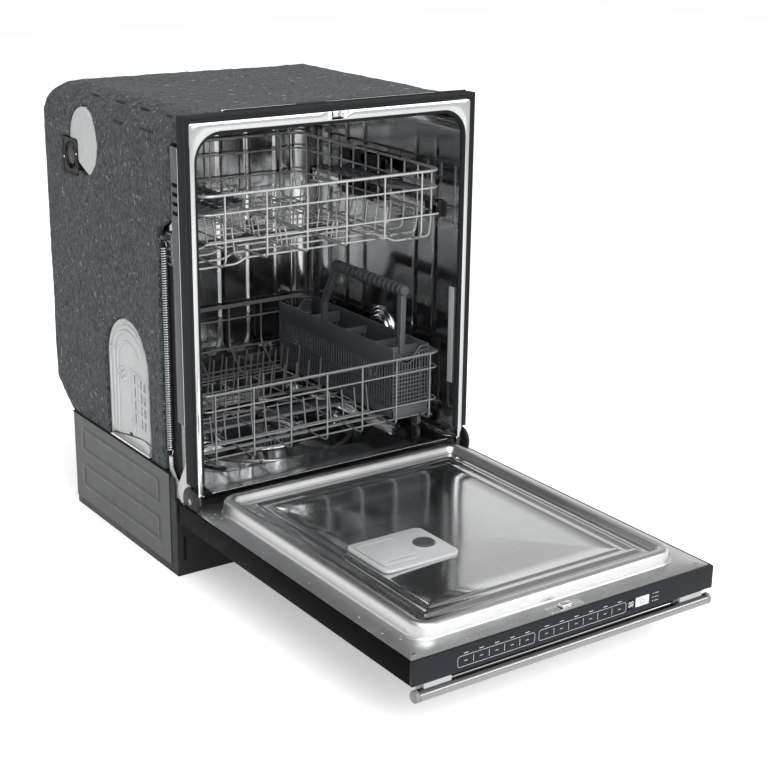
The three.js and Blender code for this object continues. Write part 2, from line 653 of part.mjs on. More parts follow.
function dispenserLid() {
  const { x0, y0, y1, top } = DISPENSER;
  return block(x0 + 8, x0 + 86, y0 + 14, y1 - 14, top + GAP, top + 2.8);
}

// ---------------------------------------------------------------- assembly
const machine = new THREE.Group();
machine.position.y = (REACH - REAR) / 2;

function place(name, body, material) {
  const { vertProperties, triVerts } = body.asOriginal().simplify(0.002).getMesh();
  const geometry = new THREE.BufferGeometry();
  geometry.setAttribute('position', new THREE.BufferAttribute(vertProperties, 3));
  geometry.setIndex(new THREE.BufferAttribute(triVerts, 1));
  geometry.computeVertexNormals();
  const mesh = new THREE.Mesh(geometry, material);
  mesh.name = name;
  machine.add(mesh);
}

function placePair(name, make, material) {
  const pair = onBothSides(make);
  place(`${name}_left`, pair.left, material);
  place(`${name}_right`, pair.right, material);
}

place('tub', tub(), STEEL);
place('insulation_blanket', insulation(), FELT);
placePair('trim', trimSide, BLACK);
place('trim_top', trimTop(), BLACK);
place('door_seal', doorSeal(), RUBBER);
placePair('hinge_frame', hingeFrame, ZINC);
placePair('door_spring', doorSpring, ZINC);
placePair('spring_link', springLink, WHITE_PLASTIC);
place('vent_duct', ventDuct(), WHITE_PLASTIC);
place('fan_housing', fanHousing(), BLACK);
place('fan_rotor', fanRotor(), BLACK);
place('fill_chamber', fillChamber(), WHITE_PLASTIC);
place('wall_vent_cap', wallVent(), LIGHT_GREY);
place('base_pan', basePan(), BLACK);
placePair('side_panel', sidePanel, PANEL_GREY);
place('sump', sump(), DARK_PLASTIC);
place('filter', filter(), DARK_PLASTIC);
place('wash_pump', washPump(), DARK_PLASTIC);
place('heating_element', heater(), ZINC);
place('float', float(), LIGHT_GREY);
place('spray_arm_lower', lowerSprayArm(), DARK_PLASTIC);
placePair('rail_fixed', railFixed, ZINC);
placePair('rail_middle', railMiddle, ZINC);
placePair('height_adjuster', heightAdjuster, DARK_PLASTIC);
place('upper_rack', upperRack(), WIRE_SILVER);
place('spray_arm_upper', upperSprayArm(), DARK_PLASTIC);
placePair('cup_shelf', cupShelf, DARK_PLASTIC);
place('lower_rack', lowerRack(), WIRE_GREY);
place('folding_tines', foldingTines(), WIRE_GREY);
WHEEL.rows.forEach((y, i) => placePair(`rack_wheel_${i + 1}`, (side) => wheel(side, y),
  DARK_PLASTIC));
place('silverware_basket', silverwareBasket(), DARK_PLASTIC);
place('door_liner', doorLiner(), STEEL);
place('door_shell', doorShell(), BLACK);
place('outer_panel', outerPanel(), BRUSHED);
place('console', consoleStrip(), CONSOLE);
place('start_key', startKey(), KEY);
placePair('hinge_arm', hingeArm, ZINC);
place('handle_bar', handleBar(), BRUSHED);
placePair('handle_post', handlePost, LIGHT_GREY);
place('latch_bolt', latchBolt(), STEEL);
place('dispenser', dispenserBody(), LIGHT_GREY);
place('dispenser_lid', dispenserLid(), LIGHT_GREY);

const group = new THREE.Group();
group.add(machine);
export default group;
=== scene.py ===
"""Visual model of the built-in dishwasher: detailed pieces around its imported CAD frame.

Lengths in the shape code are millimetres in the machine's own drawing axes: x = 0 on the middle
plane, y = 0 on the tub's front flange (front is -y) and z = 0 on the floor.
"""
import math
import random

import bmesh
import bpy
from mathutils import Matrix, Vector, noise


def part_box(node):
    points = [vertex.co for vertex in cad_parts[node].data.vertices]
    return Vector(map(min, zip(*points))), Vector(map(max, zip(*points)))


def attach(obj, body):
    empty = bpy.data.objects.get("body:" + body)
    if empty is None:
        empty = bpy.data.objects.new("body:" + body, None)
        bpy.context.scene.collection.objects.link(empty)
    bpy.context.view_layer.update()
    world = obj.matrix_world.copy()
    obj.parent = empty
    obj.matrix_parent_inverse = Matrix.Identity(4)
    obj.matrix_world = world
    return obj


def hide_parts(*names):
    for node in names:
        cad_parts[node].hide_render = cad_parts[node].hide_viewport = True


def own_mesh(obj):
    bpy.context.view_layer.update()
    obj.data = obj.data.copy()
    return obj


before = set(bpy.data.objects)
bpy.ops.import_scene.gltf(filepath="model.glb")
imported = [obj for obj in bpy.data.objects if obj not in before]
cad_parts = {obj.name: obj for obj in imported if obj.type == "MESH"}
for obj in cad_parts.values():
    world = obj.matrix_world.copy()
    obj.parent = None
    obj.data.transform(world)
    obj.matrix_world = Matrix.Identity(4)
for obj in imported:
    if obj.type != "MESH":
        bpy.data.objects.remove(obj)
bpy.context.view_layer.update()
MM = 0.001
FLANGE_FRONT = 1.0  # the tub's front face stands this far behind y = 0 of the drawing
Y_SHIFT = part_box("tub")[0].y / MM - FLANGE_FRONT
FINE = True
WELD_GAP = 0.00002  # metres between points that are one


def row(point):
    """A drawing point in the row frame, in metres."""
    return Vector((point[0], point[1] + Y_SHIFT, point[2])) * MM


class Span:
    """A CAD node's box in the drawing, in millimetres."""

    def __init__(self, node):
        low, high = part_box(node)
        self.x0, self.y0, self.z0 = low.x / MM, low.y / MM - Y_SHIFT, low.z / MM
        self.x1, self.y1, self.z1 = high.x / MM, high.y / MM - Y_SHIFT, high.z / MM
        self.x, self.y, self.z = ((a + b) / 2 for a, b in (
            (self.x0, self.x1), (self.y0, self.y1), (self.z0, self.z1)))


# ---------------------------------------------------------------- materials
def grey(value):
    """A neutral colour."""
    return (value, value, value)


class Graph:
    """A short way to write shader nodes. Coordinates are the object's, in metres."""

    def __init__(self, name):
        self.material = bpy.data.materials.new(name)
        self.material.use_nodes = True
        self.tree = self.material.node_tree
        self.shader = self.tree.nodes["Principled BSDF"]
        self.where = self.add("ShaderNodeTexCoord").outputs["Object"]

    def add(self, kind, **settings):
        node = self.tree.nodes.new(kind)
        for key, value in settings.items():
            setattr(node, key, value)
        return node

    def link(self, source, target):
        self.tree.links.new(source, target)

    def scaled(self, scale, warp=0.0):
        mapping = self.add("ShaderNodeMapping")
        mapping.inputs["Scale"].default_value = scale
        if warp:
            swirl = self.add("ShaderNodeTexNoise")
            swirl.inputs["Scale"].default_value = 55
            self.link(self.where, swirl.inputs["Vector"])
            mix = self.add("ShaderNodeMix", data_type="VECTOR")
            mix.inputs[0].default_value = warp
            self.link(self.where, mix.inputs[4])
            self.link(swirl.outputs["Color"], mix.inputs[5])
            self.link(mix.outputs[1], mapping.inputs["Vector"])
        else:
            self.link(self.where, mapping.inputs["Vector"])
        return mapping.outputs[0]

    def noise(self, scale, detail=3.0, rough=0.55, warp=0.0):
        node = self.add("ShaderNodeTexNoise")
        node.inputs["Scale"].default_value = 1
        node.inputs["Detail"].default_value = detail
        node.inputs["Roughness"].default_value = rough
        scale = (scale,) * 3 if isinstance(scale, (int, float)) else scale
        self.link(self.scaled(scale, warp), node.inputs["Vector"])
        return node.outputs[0]

    def cells(self, scale):
        node = self.add("ShaderNodeTexVoronoi")
        node.inputs["Scale"].default_value = 1
        self.link(self.scaled((scale,) * 3), node.inputs["Vector"])
        return node

    def ramp(self, source, low, high, to_low=0.0, to_high=1.0):
        node = self.add("ShaderNodeMapRange")
        for key, value in zip(("From Min", "From Max", "To Min", "To Max"),
                              (low, high, to_low, to_high)):
            node.inputs[key].default_value = value
        self.link(source, node.inputs["Value"])
        return node.outputs[0]

    def mix(self, factor, first, second):
        node = self.add("ShaderNodeMix", data_type="RGBA")
        for socket, value in ((node.inputs[0], factor), (node.inputs[6], first),
                              (node.inputs[7], second)):
            if isinstance(value, bpy.types.NodeSocket):
                self.link(value, socket)
            else:
                socket.default_value = (*value, 1) if isinstance(value, tuple) else value
        return node.outputs[2]

    def bump(self, source, strength, distance, under=None):
        node = self.add("ShaderNodeBump")
        node.inputs["Strength"].default_value = strength
        node.inputs["Distance"].default_value = distance * MM
        self.link(source, node.inputs["Height"])
        if under is not None:
            self.link(under, node.inputs["Normal"])
        return node.outputs[0]

    def finish(self, colour=None, rough=None, normal=None, **sockets):
        for source, socket in ((colour, "Base Color"), (rough, "Roughness"), (normal, "Normal")):
            if source is not None:
                self.link(source, self.shader.inputs[socket])
        for key, value in sockets.items():
            self.shader.inputs[key.replace("_", " ")].default_value = value
        return self.material


def metal(name, colour, rough, spread=0.06, lay=(30, 30, 900), lay_depth=0.02, wave=0.0, patch=7):
    """Steel: a fine brushing laid along one direction, soft waviness and smudges of roughness."""
    g = Graph(name)
    brushing = g.noise(lay, 2, 0.6)
    smudge = g.noise(patch, 4, 0.6)
    tone = g.mix(g.ramp(brushing, 0.3, 0.7), tuple(c * 0.9 for c in colour), colour)
    tone = g.mix(g.ramp(smudge, 0.35, 0.7, 0, 0.25), tone, tuple(c * 0.84 for c in colour))
    shine = g.ramp(g.noise(patch * 3, 5, 0.65), 0.3, 0.75, rough, rough + spread)
    normal = g.bump(brushing, lay_depth * 10, lay_depth)
    if wave:
        normal = g.bump(g.noise(11, 1, 0.4), 0.6, wave, normal)
    return g.finish(tone, shine, normal, Metallic=1.0)


def plastic(name, colour, rough, grain=420, depth=0.06, mottle=0.12, spread=0.12, wear=0.25,
            coat=0.0, **sockets):
    """Moulded plastic: fine grain, a little mottling, and paler rubbed edges."""
    g = Graph(name)
    fine = g.noise(grain * 2.4, 2, 0.5)
    blotch = g.noise(14, 4, 0.6)
    tone = g.mix(g.ramp(blotch, 0.3, 0.7), tuple(c * (1 - mottle) for c in colour), colour)
    tone = g.mix(g.ramp(fine, 0.25, 0.75, 0, 0.25), tone, tuple(min(1, c * 1.12) for c in colour))
    edge = g.add("ShaderNodeNewGeometry").outputs["Pointiness"]
    rubbed = g.ramp(edge, 0.53, 0.62, 0, wear)
    tone = g.mix(rubbed, tone, tuple(min(1, c * 1.5 + 0.04) for c in colour))
    shine = g.ramp(g.noise(45, 4, 0.6), 0.3, 0.7, rough, rough + spread)
    normal = g.bump(fine, 0.35, depth, g.bump(blotch, 0.15, 0.3))
    return g.finish(tone, shine, normal, Coat_Weight=coat, **sockets)


FELT_LOW, FELT_HIGH = (0.0062, 0.0086, 0.0102), (0.068, 0.082, 0.0895)


def felt(name):
    """Needled felt: slate-grey wool, streaked downwards, with pale and dark flecks."""
    g = Graph(name)
    streak = g.noise((250, 250, 100), 3, 0.62, warp=0.012)
    fine = g.noise((1000, 1000, 620), 3, 0.7)
    cloud = g.noise(17, 3, 0.6)
    tone = g.mix(g.ramp(streak, 0.41, 0.59), FELT_LOW, FELT_HIGH)
    tone = g.mix(g.ramp(fine, 0.34, 0.66, 0, 0.55), tone, FELT_LOW)
    tone = g.mix(g.ramp(cloud, 0.35, 0.7, 0, 0.16), tone, FELT_HIGH)
    for scale, low, high, colour, warp in (
            ((150, 300, 100), 0.66, 0.72, (0.2, 0.215, 0.215), 0.03),
            ((420, 130, 170), 0.69, 0.75, (0.26, 0.25, 0.225), 0.035),
            ((190, 190, 80), 0.6, 0.68, (0.006, 0.008, 0.009), 0.02),
            ((380, 380, 120), 0.62, 0.7, (0.009, 0.012, 0.013), 0.03)):
        fleck = g.ramp(g.noise(scale, 2, 0.5, warp=warp), low, high)
        tone = g.mix(fleck, tone, colour)
    lumps = g.bump(g.noise(60, 5, 0.7), 0.45, 1.5)
    normal = g.bump(fine, 0.8, 0.6, g.bump(streak, 0.7, 1.0, lumps))
    return g.finish(tone, g.ramp(fine, 0.2, 0.8, 0.86, 1.0), normal, Sheen_Weight=0.04,
                    Sheen_Roughness=0.5)


def galvanised(name):
    """Zinc-coated steel with its pale and dark spangle."""
    g = Graph(name)
    spangle = g.cells(210)
    tint = g.ramp(spangle.outputs["Color"], 0, 1)
    tone = g.mix(tint, (0.24, 0.25, 0.26), (0.4, 0.41, 0.42))
    tone = g.mix(g.ramp(g.noise(18, 5, 0.7), 0.4, 0.75, 0, 0.5), tone, (0.2, 0.205, 0.21))
    rough = g.ramp(g.noise(90, 3, 0.6), 0.3, 0.7, 0.3, 0.5)
    return g.finish(tone, rough, g.bump(spangle.outputs["Distance"], 0.2, 0.1), Metallic=0.9)


def coated(name, colour, rough):
    """Nylon-coated rack wire: smooth, faintly uneven, with duller dips."""
    g = Graph(name)
    drip = g.noise(70, 3, 0.6)
    tone = g.mix(g.ramp(drip, 0.3, 0.7), tuple(c * 0.86 for c in colour), colour)
    tone = g.mix(g.ramp(g.noise(900, 2), 0.3, 0.7, 0, 0.2), tone, tuple(c * 1.15 for c in colour))
    return g.finish(tone, g.ramp(drip, 0.25, 0.75, rough, rough + 0.14),
                    g.bump(g.noise(260, 3, 0.6), 0.3, 0.12), Metallic=0.6, Coat_Weight=0.2)


MIRROR = metal("polished_stainless", (0.46, 0.465, 0.47), 0.09, 0.1, (500, 500, 25), 0.004, 0.3)
SATIN = metal("satin_stainless", (0.7, 0.705, 0.71), 0.1, 0.06, (40, 900, 900), 0.006, 0.03, 4)
LIP_STEEL = metal("rolled_lip_stainless", (0.65, 0.655, 0.66), 0.29, 0.08, (40, 900, 900), 0.01,
                  0.04)
BRUSHED = metal("brushed_bar", (0.25, 0.249, 0.247), 0.22, 0.06, (12, 1500, 1500), 0.005)
BRIGHT = metal("bright_steel", (0.82, 0.82, 0.83), 0.12, 0.1, (300, 300, 40), 0.006, 0.2)
SPRING_STEEL = metal("spring_steel", (0.5, 0.5, 0.51), 0.25, 0.12, (400, 400, 400), 0.01)
DARK_METAL = metal("heater_sheath", (0.3, 0.3, 0.31), 0.28, 0.15, (300, 300, 300), 0.01)
ZINC = galvanised("galvanised_steel")
FELT = felt("needled_felt")
# Black felt for painted shade: inside the felt's cuts, along the blanket's top edge and behind the
# hinge columns.
FELT_SHADE = plastic("felt_shadow", (0.009, 0.011, 0.012), 0.95, 700, 0.3, 0.3, 0.04, 0.0)
DULL = {"Specular_IOR_Level": 0.07}  # mouldings that hardly mirror the pale room
BLACK = plastic("black_plastic", (0.009, 0.009, 0.01), 0.38, 380, 0.08, wear=0.12,
                Specular_IOR_Level=0.2)
BLACK_GLOSS = plastic("black_door_side", (0.002, 0.002, 0.0024), 0.42, 500, 0.03, wear=0.03,
                      Specular_IOR_Level=0.02)
CONSOLE = plastic("console_plastic", (0.014, 0.015, 0.0185), 0.36, 700, 0.02, 0.08, wear=0.1, **DULL)
RUBBER = plastic("rubber_seal", (0.011, 0.012, 0.013), 0.5, 300, 0.06, 0.2, wear=0.12, **DULL)
DARK = plastic("dark_grey_plastic", (0.042, 0.045, 0.05), 0.4, 420, 0.06, wear=0.25,
               Specular_IOR_Level=0.35)
DARKER = plastic("dark_bracket", (0.02, 0.022, 0.025), 0.38, 420, 0.06, wear=0.25,
                 Specular_IOR_Level=0.3)
PANEL = plastic("painted_grey_panel", (0.047, 0.049, 0.0505), 0.34, 900, 0.03, 0.06, wear=0.1,
                Specular_IOR_Level=0.3)
LIGHT = plastic("light_grey_plastic", (0.34, 0.345, 0.35), 0.3, 500, 0.03, 0.06)
CAP_GREY = plastic("handle_cap_grey", (0.13, 0.132, 0.135), 0.34, 500, 0.03, 0.06)
POST_GREY = plastic("handle_post_grey", (0.24, 0.243, 0.246), 0.34, 500, 0.03, 0.06)
KEY = plastic("start_key_face", (0.46, 0.47, 0.48), 0.3, 700, 0.02, 0.05)
WHITE = plastic("white_duct", (0.38, 0.384, 0.386), 0.38, 240, 0.05, 0.07, wear=0.1,
                Subsurface_Weight=0.1)
CLEAR = plastic("milky_chamber", (0.4, 0.403, 0.405), 0.3, 160, 0.12, 0.2, wear=0.25, coat=0.2,
                Subsurface_Weight=0.15)
# A darker copy of the chamber's plastic: painted shade in the windows of its ladder of ribs.
CHAMBER_SHADE = plastic("milky_chamber_shade", (0.16, 0.162, 0.165), 0.35, 160, 0.12, 0.2, wear=0.1,
                     coat=0.2)
STRAP = plastic("nylon_strap", (0.5, 0.5, 0.49), 0.5, 320, 0.2, 0.14)
SILVER_WIRE = coated("silver_rack_wire", (0.36, 0.363, 0.366), 0.24)
GREY_WIRE = coated("grey_rack_wire", (0.17, 0.174, 0.178), 0.3)
CHANNEL = plastic("grey_channel", (0.052, 0.056, 0.06), 0.34, 600, 0.03, 0.08, wear=0.1,
                  Specular_IOR_Level=0.3)
WHEEL_GREY = plastic("wheel_grey", (0.07, 0.073, 0.077), 0.4, 420, 0.05, 0.1)
PRINT = plastic("console_print", (0.42, 0.43, 0.45), 0.4, 500, 0.01, 0.1)
# Black for painted shade in holes, slots, pockets, the vent's well and the strike's mouth; also the
# display window's own dark face.
HOLE_SHADE_AND_DISPLAY_BLACK = plastic("hole_shade_and_display_black", (0.004, 0.004, 0.004), 0.7, 500, 0.02, 0.1, wear=0.0, **DULL)


# ---------------------------------------------------------------- shapes
def at(axis, u, v, w):
    """A point from its place in the plane across an axis (u, v) and its place along it (w)."""
    return {"x": (w, u, v), "y": (u, w, v), "z": (u, v, w)}[axis]


class Shape:
    """Vertices and faces gathered in millimetres."""

    def __init__(self):
        self.points, self.faces = [], []

    def add(self, points, faces):
        first = len(self.points)
        self.points += [tuple(p) for p in points]
        self.faces += [[i + first for i in face] for face in faces]
        return self

    def grid(self, lines, closed=False):
        """Quads between equal lines of points; closed joins each line's ends."""
        count = len(lines[0])
        faces = []
        for i in range(len(lines) - 1):
            for j in range(count if closed else count - 1):
                k = (j + 1) % count
                faces.append([i * count + j, i * count + k, (i + 1) * count + k,
                              (i + 1) * count + j])
        return self.add([p for line in lines for p in line], faces)

    def fan(self, line):
        """One face across a closed line."""
        return self.add(line, [list(range(len(line)))])

    def prism(self, axis, outline, low, high, edge=0.0):
        """An outline pushed along an axis, its two rims rounded off by edge."""
        rings = [(0.0, low)] if not edge else [(edge, low), (edge * 0.3, low + edge * 0.3),
                                              (0.0, low + edge)]
        rings += [(inset, high - (w - low)) for inset, w in reversed(rings)]
        lines = [[at(axis, u, v, w) for u, v in inset_loop(outline, inset)] for inset, w in rings]
        return self.grid(lines, closed=True).fan(lines[0]).fan(lines[-1])

    def box(self, x0, x1, y0, y1, z0, z1, edge=0.8, corner=0.0):
        edge = min(edge, (x1 - x0) * 0.3, (y1 - y0) * 0.3, (z1 - z0) * 0.3)
        corner = max(corner, edge)
        return self.prism("z", rounded(x0, x1, y0, y1, corner, 3), z0, z1, edge)

    def lathe(self, axis, centre, profile, segments=32):
        """A profile of (radius, place along the axis) turned about a centre."""
        lines = [lifted(axis, circle(*centre, radius, segments), w) for radius, w in profile]
        return self.grid(lines, closed=True)

    def tube(self, path, radius, sides=8, closed=False):
        """A round rod along a path of points."""
        points = [Vector(p) for p in path]
        count = len(points)
        up = None
        lines = []
        for i, point in enumerate(points):
            before = points[i - 1] if i or closed else points[0]
            after = points[(i + 1) % count] if i < count - 1 or closed else points[-1]
            along = (after - before).normalized()
            if up is None:
                up = along.orthogonal().normalized()
            up = (up - along * up.dot(along)).normalized()
            other = along.cross(up)
            lines.append([point + (up * math.cos(2 * math.pi * k / sides)
                                   + other * math.sin(2 * math.pi * k / sides)) * radius
                          for k in range(sides)])
        if closed:
            lines.append(lines[0])
        else:
            self.fan(lines[0]).fan(lines[-1])
        return self.grid(lines, closed=True)

    def sweep(self, axis, path, profile):
        """A closed profile of (outward, along axis) carried along a path with mitred corners."""
        normals = mitres(path, False)
        lines = [[at(axis, u + nu * out, v + nv * out, w) for out, w in profile]
                 for (u, v), (nu, nv) in zip(path, normals)]
        return self.fan(lines[0]).fan(lines[-1]).grid(lines, closed=True)


def rounded(u0, u1, v0, v1, corner, steps=6, sides=1):
    """A rounded rectangle, anticlockwise from its low-v side's left end."""
    corner = min(corner, (u1 - u0) / 2 - 1e-3, (v1 - v0) / 2 - 1e-3)
    centres = [(u1 - corner, v0 + corner, -90), (u1 - corner, v1 - corner, 0),
               (u0 + corner, v1 - corner, 90), (u0 + corner, v0 + corner, 180)]
    loop = []
    for n, (u, v, start) in enumerate(centres):
        for i in range(steps + 1):
            turn = math.radians(start + 90 * i / steps)
            loop.append((u + corner * math.cos(turn), v + corner * math.sin(turn)))
        next_u, next_v, next_start = centres[(n + 1) % 4]
        turn = math.radians(next_start)
        end = (next_u + corner * math.cos(turn), next_v + corner * math.sin(turn))
        last = loop[-1]
        for i in range(1, sides):
            share = i / sides
            loop.append((last[0] + (end[0] - last[0]) * share, last[1] + (end[1] - last[1]) * share))
    return loop


def circle(u, v, radius, count):
    """Points round a circle, the first of them not repeated."""
    angles = [2 * math.pi * i / count for i in range(count)]
    return [(u + radius * math.cos(a), v + radius * math.sin(a)) for a in angles]


def mitres(path, closed):
    """Outward vectors of an anticlockwise path, lengthened at its corners."""
    count = len(path)
    result = []
    for i in range(count):
        before = path[i - 1] if i or closed else None
        after = path[(i + 1) % count] if i < count - 1 or closed else None
        sides = []
        for a, b in ((before, path[i]), (path[i], after)):
            if a is not None and b is not None:
                length = math.hypot(b[0] - a[0], b[1] - a[1]) or 1
                sides.append(((b[1] - a[1]) / length, (a[0] - b[0]) / length))
        nu, nv = (sum(s[k] for s in sides) / len(sides) for k in (0, 1))
        scale = max(0.3, nu * nu + nv * nv)
        result.append((nu / scale, nv / scale))
    return result


def inset_loop(loop, distance):
    """A closed loop moved inwards."""
    if not distance:
        return loop
    return [(u - nu * distance, v - nv * distance)
            for (u, v), (nu, nv) in zip(loop, mitres(loop, True))]


def bent(points, radius, steps=5):
    """A path of straight runs with its corners turned to a radius."""
    points = [Vector(p) for p in points]
    path = [points[0]]
    for before, corner, after in zip(points, points[1:], points[2:]):
        a, b = before - corner, after - corner
        reach = min(radius, a.length * 0.49, b.length * 0.49)
        start, end = corner + a.normalized() * reach, corner + b.normalized() * reach
        for i in range(steps + 1):
            t = i / steps
            path.append(start * (1 - t) ** 2 + corner * 2 * t * (1 - t) + end * t * t)
    return path + [points[-1]]


def ring_bent(points, radius, steps=6):
    """The same for a closed path."""
    points = [Vector(p) for p in points]
    start = (points[0] + points[-1]) / 2
    return bent([start, *points, start], radius, steps)[:-1]


def between(low, high, count):
    """That many evenly spaced values, both ends included."""
    return [low + (high - low) * i / (count - 1) for i in range(count)]


def arc(u, v, radius, start, stop, count, tall=None):
    """Points along an arc of a circle, or of an ellipse whose other radius is tall."""
    tall = radius if tall is None else tall
    return [(u + radius * math.cos(a), v + tall * math.sin(a)) for a in between(start, stop, count)]


def lifted(axis, loop, w):
    """A flat loop stood across an axis, at w along it."""
    return [at(axis, u, v, w) for u, v in loop]


def spoke(centre, reaches, angle, x):
    """The two ends of a straight rod across the x axis, at an angle round a centre."""
    return [at("x", centre[0] + r * math.cos(angle), centre[1] + r * math.sin(angle), x)
            for r in reaches]


# ---------------------------------------------------------------- pieces
def linked(name, data):
    """A new object, linked to the scene."""
    obj = bpy.data.objects.new(name, data)
    bpy.context.scene.collection.objects.link(obj)
    return obj


def settle(obj, material, body, replaces=()):
    """Gives a piece its material, its body and the nodes it stands for."""
    obj.data.materials.append(material)
    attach(obj, body)
    if replaces:
        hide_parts(*([replaces] if isinstance(replaces, str) else replaces))
    return obj


def piece(name, shape, material, body, replaces=(), sharp=38, thick=0.0):
    """A shape as a new piece: sharp is the angle over which edges stay hard, thick a sheet's gauge."""
    mesh = bpy.data.meshes.new(name)
    mesh.from_pydata([row(p) for p in shape.points], [], shape.faces)
    bm = bmesh.new()
    bm.from_mesh(mesh)
    bmesh.ops.remove_doubles(bm, verts=bm.verts, dist=0.00001)
    bmesh.ops.dissolve_degenerate(bm, edges=bm.edges, dist=0.000005)
    bmesh.ops.recalc_face_normals(bm, faces=bm.faces)
    bm.to_mesh(mesh)
    bm.free()
    mesh.shade_smooth()
    mesh.set_sharp_from_angle(angle=math.radians(sharp))
    obj = linked(name, mesh)
    if thick:
        skin = obj.modifiers.new("skin", "SOLIDIFY")
        skin.thickness, skin.offset = abs(thick) * MM, 1 if thick > 0 else -1
    return settle(obj, material, body, replaces)


def soften(obj, width):
    """Rounds the hard edges of a piece by a modifier."""
    edge = obj.modifiers.new("edges", "BEVEL")
    edge.width, edge.segments, edge.limit_method = width * MM, 2, "ANGLE"
    edge.angle_limit = math.radians(30)
    edge.use_clamp_overlap = True
    edge.harden_normals = False


def wires(name, runs, radius, material, body, replaces=()):
    """Round wires, each a (points, closed) run, as one curve piece."""
    curve = bpy.data.curves.new(name, "CURVE")
    curve.dimensions = "3D"
    curve.bevel_depth = radius * MM
    curve.bevel_resolution = 3 if FINE else 1
    curve.use_fill_caps = True
    for points, closed in runs:
        spline = curve.splines.new("POLY")
        spline.points.add(len(points) - 1)
        for target, point in zip(spline.points, points):
            target.co = (*row(point), 1)
        spline.use_cyclic_u = closed
        spline.use_smooth = True
    obj = linked(name, curve)
    return settle(obj, material, body, replaces)


def drop_normals(mesh):
    """Lets a CAD mesh be shaded afresh."""
    custom = mesh.attributes.get("custom_normal")
    if custom:
        mesh.attributes.remove(custom)


def welded(obj):
    """Joins the points that the CAD mesh holds twice."""
    obj.modifiers.new("weld", "WELD").merge_threshold = WELD_GAP


def dress(node, material, width=0.6):
    """A CAD node kept as it is, with its finish and rounded edges."""
    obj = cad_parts[node]
    drop_normals(obj.data)
    obj.data.materials.clear()
    obj.data.materials.append(material)
    welded(obj)
    obj.data.shade_smooth()
    if width:
        soften(obj, width)
    sharp = obj.modifiers.new("shade", "EDGE_SPLIT")
    sharp.split_angle = math.radians(40)
    return obj


SIDES = (("left", -1), ("right", 1))


def mirrored(sign, near, far):
    """The x range between two distances from the middle plane, on the side sign points to."""
    return sorted((sign * near, sign * far))


# ---------------------------------------------------------------- camera, floor and light
CAMERA_AT = (-1.497, -2.294, 1.234)  # drawing metres, from the photo's perspective
YAW, PITCH, ROLL = (math.radians(a) for a in (34.90, 18.19, 0.69))
FOCAL, SENSOR = 74.24, 36.0
FLOOR_HALF = 9000
SKY = ((0.49, 1.0), (0.66, 1.0), (0.76, 0.35), (0.9, 0.3))  # share of the height, brightness
SUN_POWER, SUN_SIZE, SUN_TILT = 2.0, 70, (34, -14, 0)
LAMPS = (("front", (-0.6, -2.9, 1.9), (0, 0, 0.5), (1.8, 1.1), 60),
         ("top", (0.2, 0.1, 3.0), (0, 0, 0.5), (2.4, 2.0), 14),
         ("fill_right", (1.74, -3.07, 1.27), (0, -0.65, 0.1), (2.2, 0.8), 26))


def camera():
    """The camera, from its angles and its place in the drawing."""
    data = bpy.data.cameras.new("camera")
    data.lens, data.sensor_width = FOCAL, SENSOR
    data.clip_start, data.clip_end = 0.05, 60
    obj = linked("camera", data)
    ahead = Vector((math.sin(YAW) * math.cos(PITCH), math.cos(YAW) * math.cos(PITCH),
                    -math.sin(PITCH)))
    right = Vector((math.cos(YAW), -math.sin(YAW), 0))
    up = right.cross(ahead)
    side = right * math.cos(ROLL) + up * math.sin(ROLL)
    top = up * math.cos(ROLL) - right * math.sin(ROLL)
    obj.matrix_world = Matrix((side, top, -ahead)).transposed().to_4x4()
    obj.location = Vector(CAMERA_AT) + Vector((0, Y_SHIFT * MM, 0))
    bpy.context.scene.camera = obj


def lamp(name, place, target, size, power):
    """A rectangular soft light that looks at a target."""
    data = bpy.data.lights.new(name, "AREA")
    data.shape, data.size, data.size_y = "RECTANGLE", size[0], size[1]
    data.energy = power
    obj = linked(name, data)
    obj.location = place
    obj.rotation_euler = (Vector(target) - Vector(place)).to_track_quat("-Z", "Y").to_euler()


def pale_floor():
    """The floor: almost white, a little brighter than the light on it."""
    edges = (-FLOOR_HALF, FLOOR_HALF)
    plane = Shape().grid([[(x, y, 0) for x in edges] for y in edges])
    mesh = bpy.data.meshes.new("floor")
    mesh.from_pydata([row(p) for p in plane.points], [], plane.faces)
    g = Graph("pale_floor")
    tone = g.mix(g.ramp(g.noise(3, 4, 0.6), 0.3, 0.7), grey(0.9), grey(0.93))
    mesh.materials.append(g.finish(tone, g.ramp(g.noise(30), 0.3, 0.7, 0.55, 0.65),
                                   g.bump(g.noise(400), 0.05, 0.1),
                                   Emission_Color=(1, 1, 1, 1), Emission_Strength=0.3))
    linked("floor", mesh)


def sky():
    """The world: bright round the horizon and dim overhead, so that steel shows its shape."""
    world = bpy.data.worlds.new("studio")
    bpy.context.scene.world = world
    world.use_nodes = True
    tree = world.node_tree
    where, split, ramp, height = (tree.nodes.new("ShaderNode" + kind) for kind in (
        "TexCoord", "SeparateXYZ", "ValToRGB", "MapRange"))
    height.inputs["From Min"].default_value = -1
    back = tree.nodes["Background"]
    for source, target in ((where.outputs["Generated"], split.inputs[0]),
                           (split.outputs["Z"], height.inputs["Value"]),
                           (height.outputs[0], ramp.inputs[0]),
                           (ramp.outputs[0], back.inputs["Color"])):
        tree.links.new(source, target)
    stops = ramp.color_ramp.elements
    stops[0].color, stops[1].color = (*grey(0.8), 1), (*grey(0.5), 1)
    for place, value in SKY:
        stops.new(place).color = (*grey(value), 1)
    back.inputs["Strength"].default_value = 1.0


def studio():
    """The floor, the world, three lamps and a wide soft sun."""
    pale_floor()
    sky()
    for settings in LAMPS:
        lamp(*settings)
    sun = bpy.data.lights.new("sky", "SUN")
    sun.energy, sun.angle = SUN_POWER, math.radians(SUN_SIZE)
    linked("sky", sun).rotation_euler = [math.radians(a) for a in SUN_TILT]
    bpy.context.scene.view_settings.view_transform = "Standard"


camera()
studio()


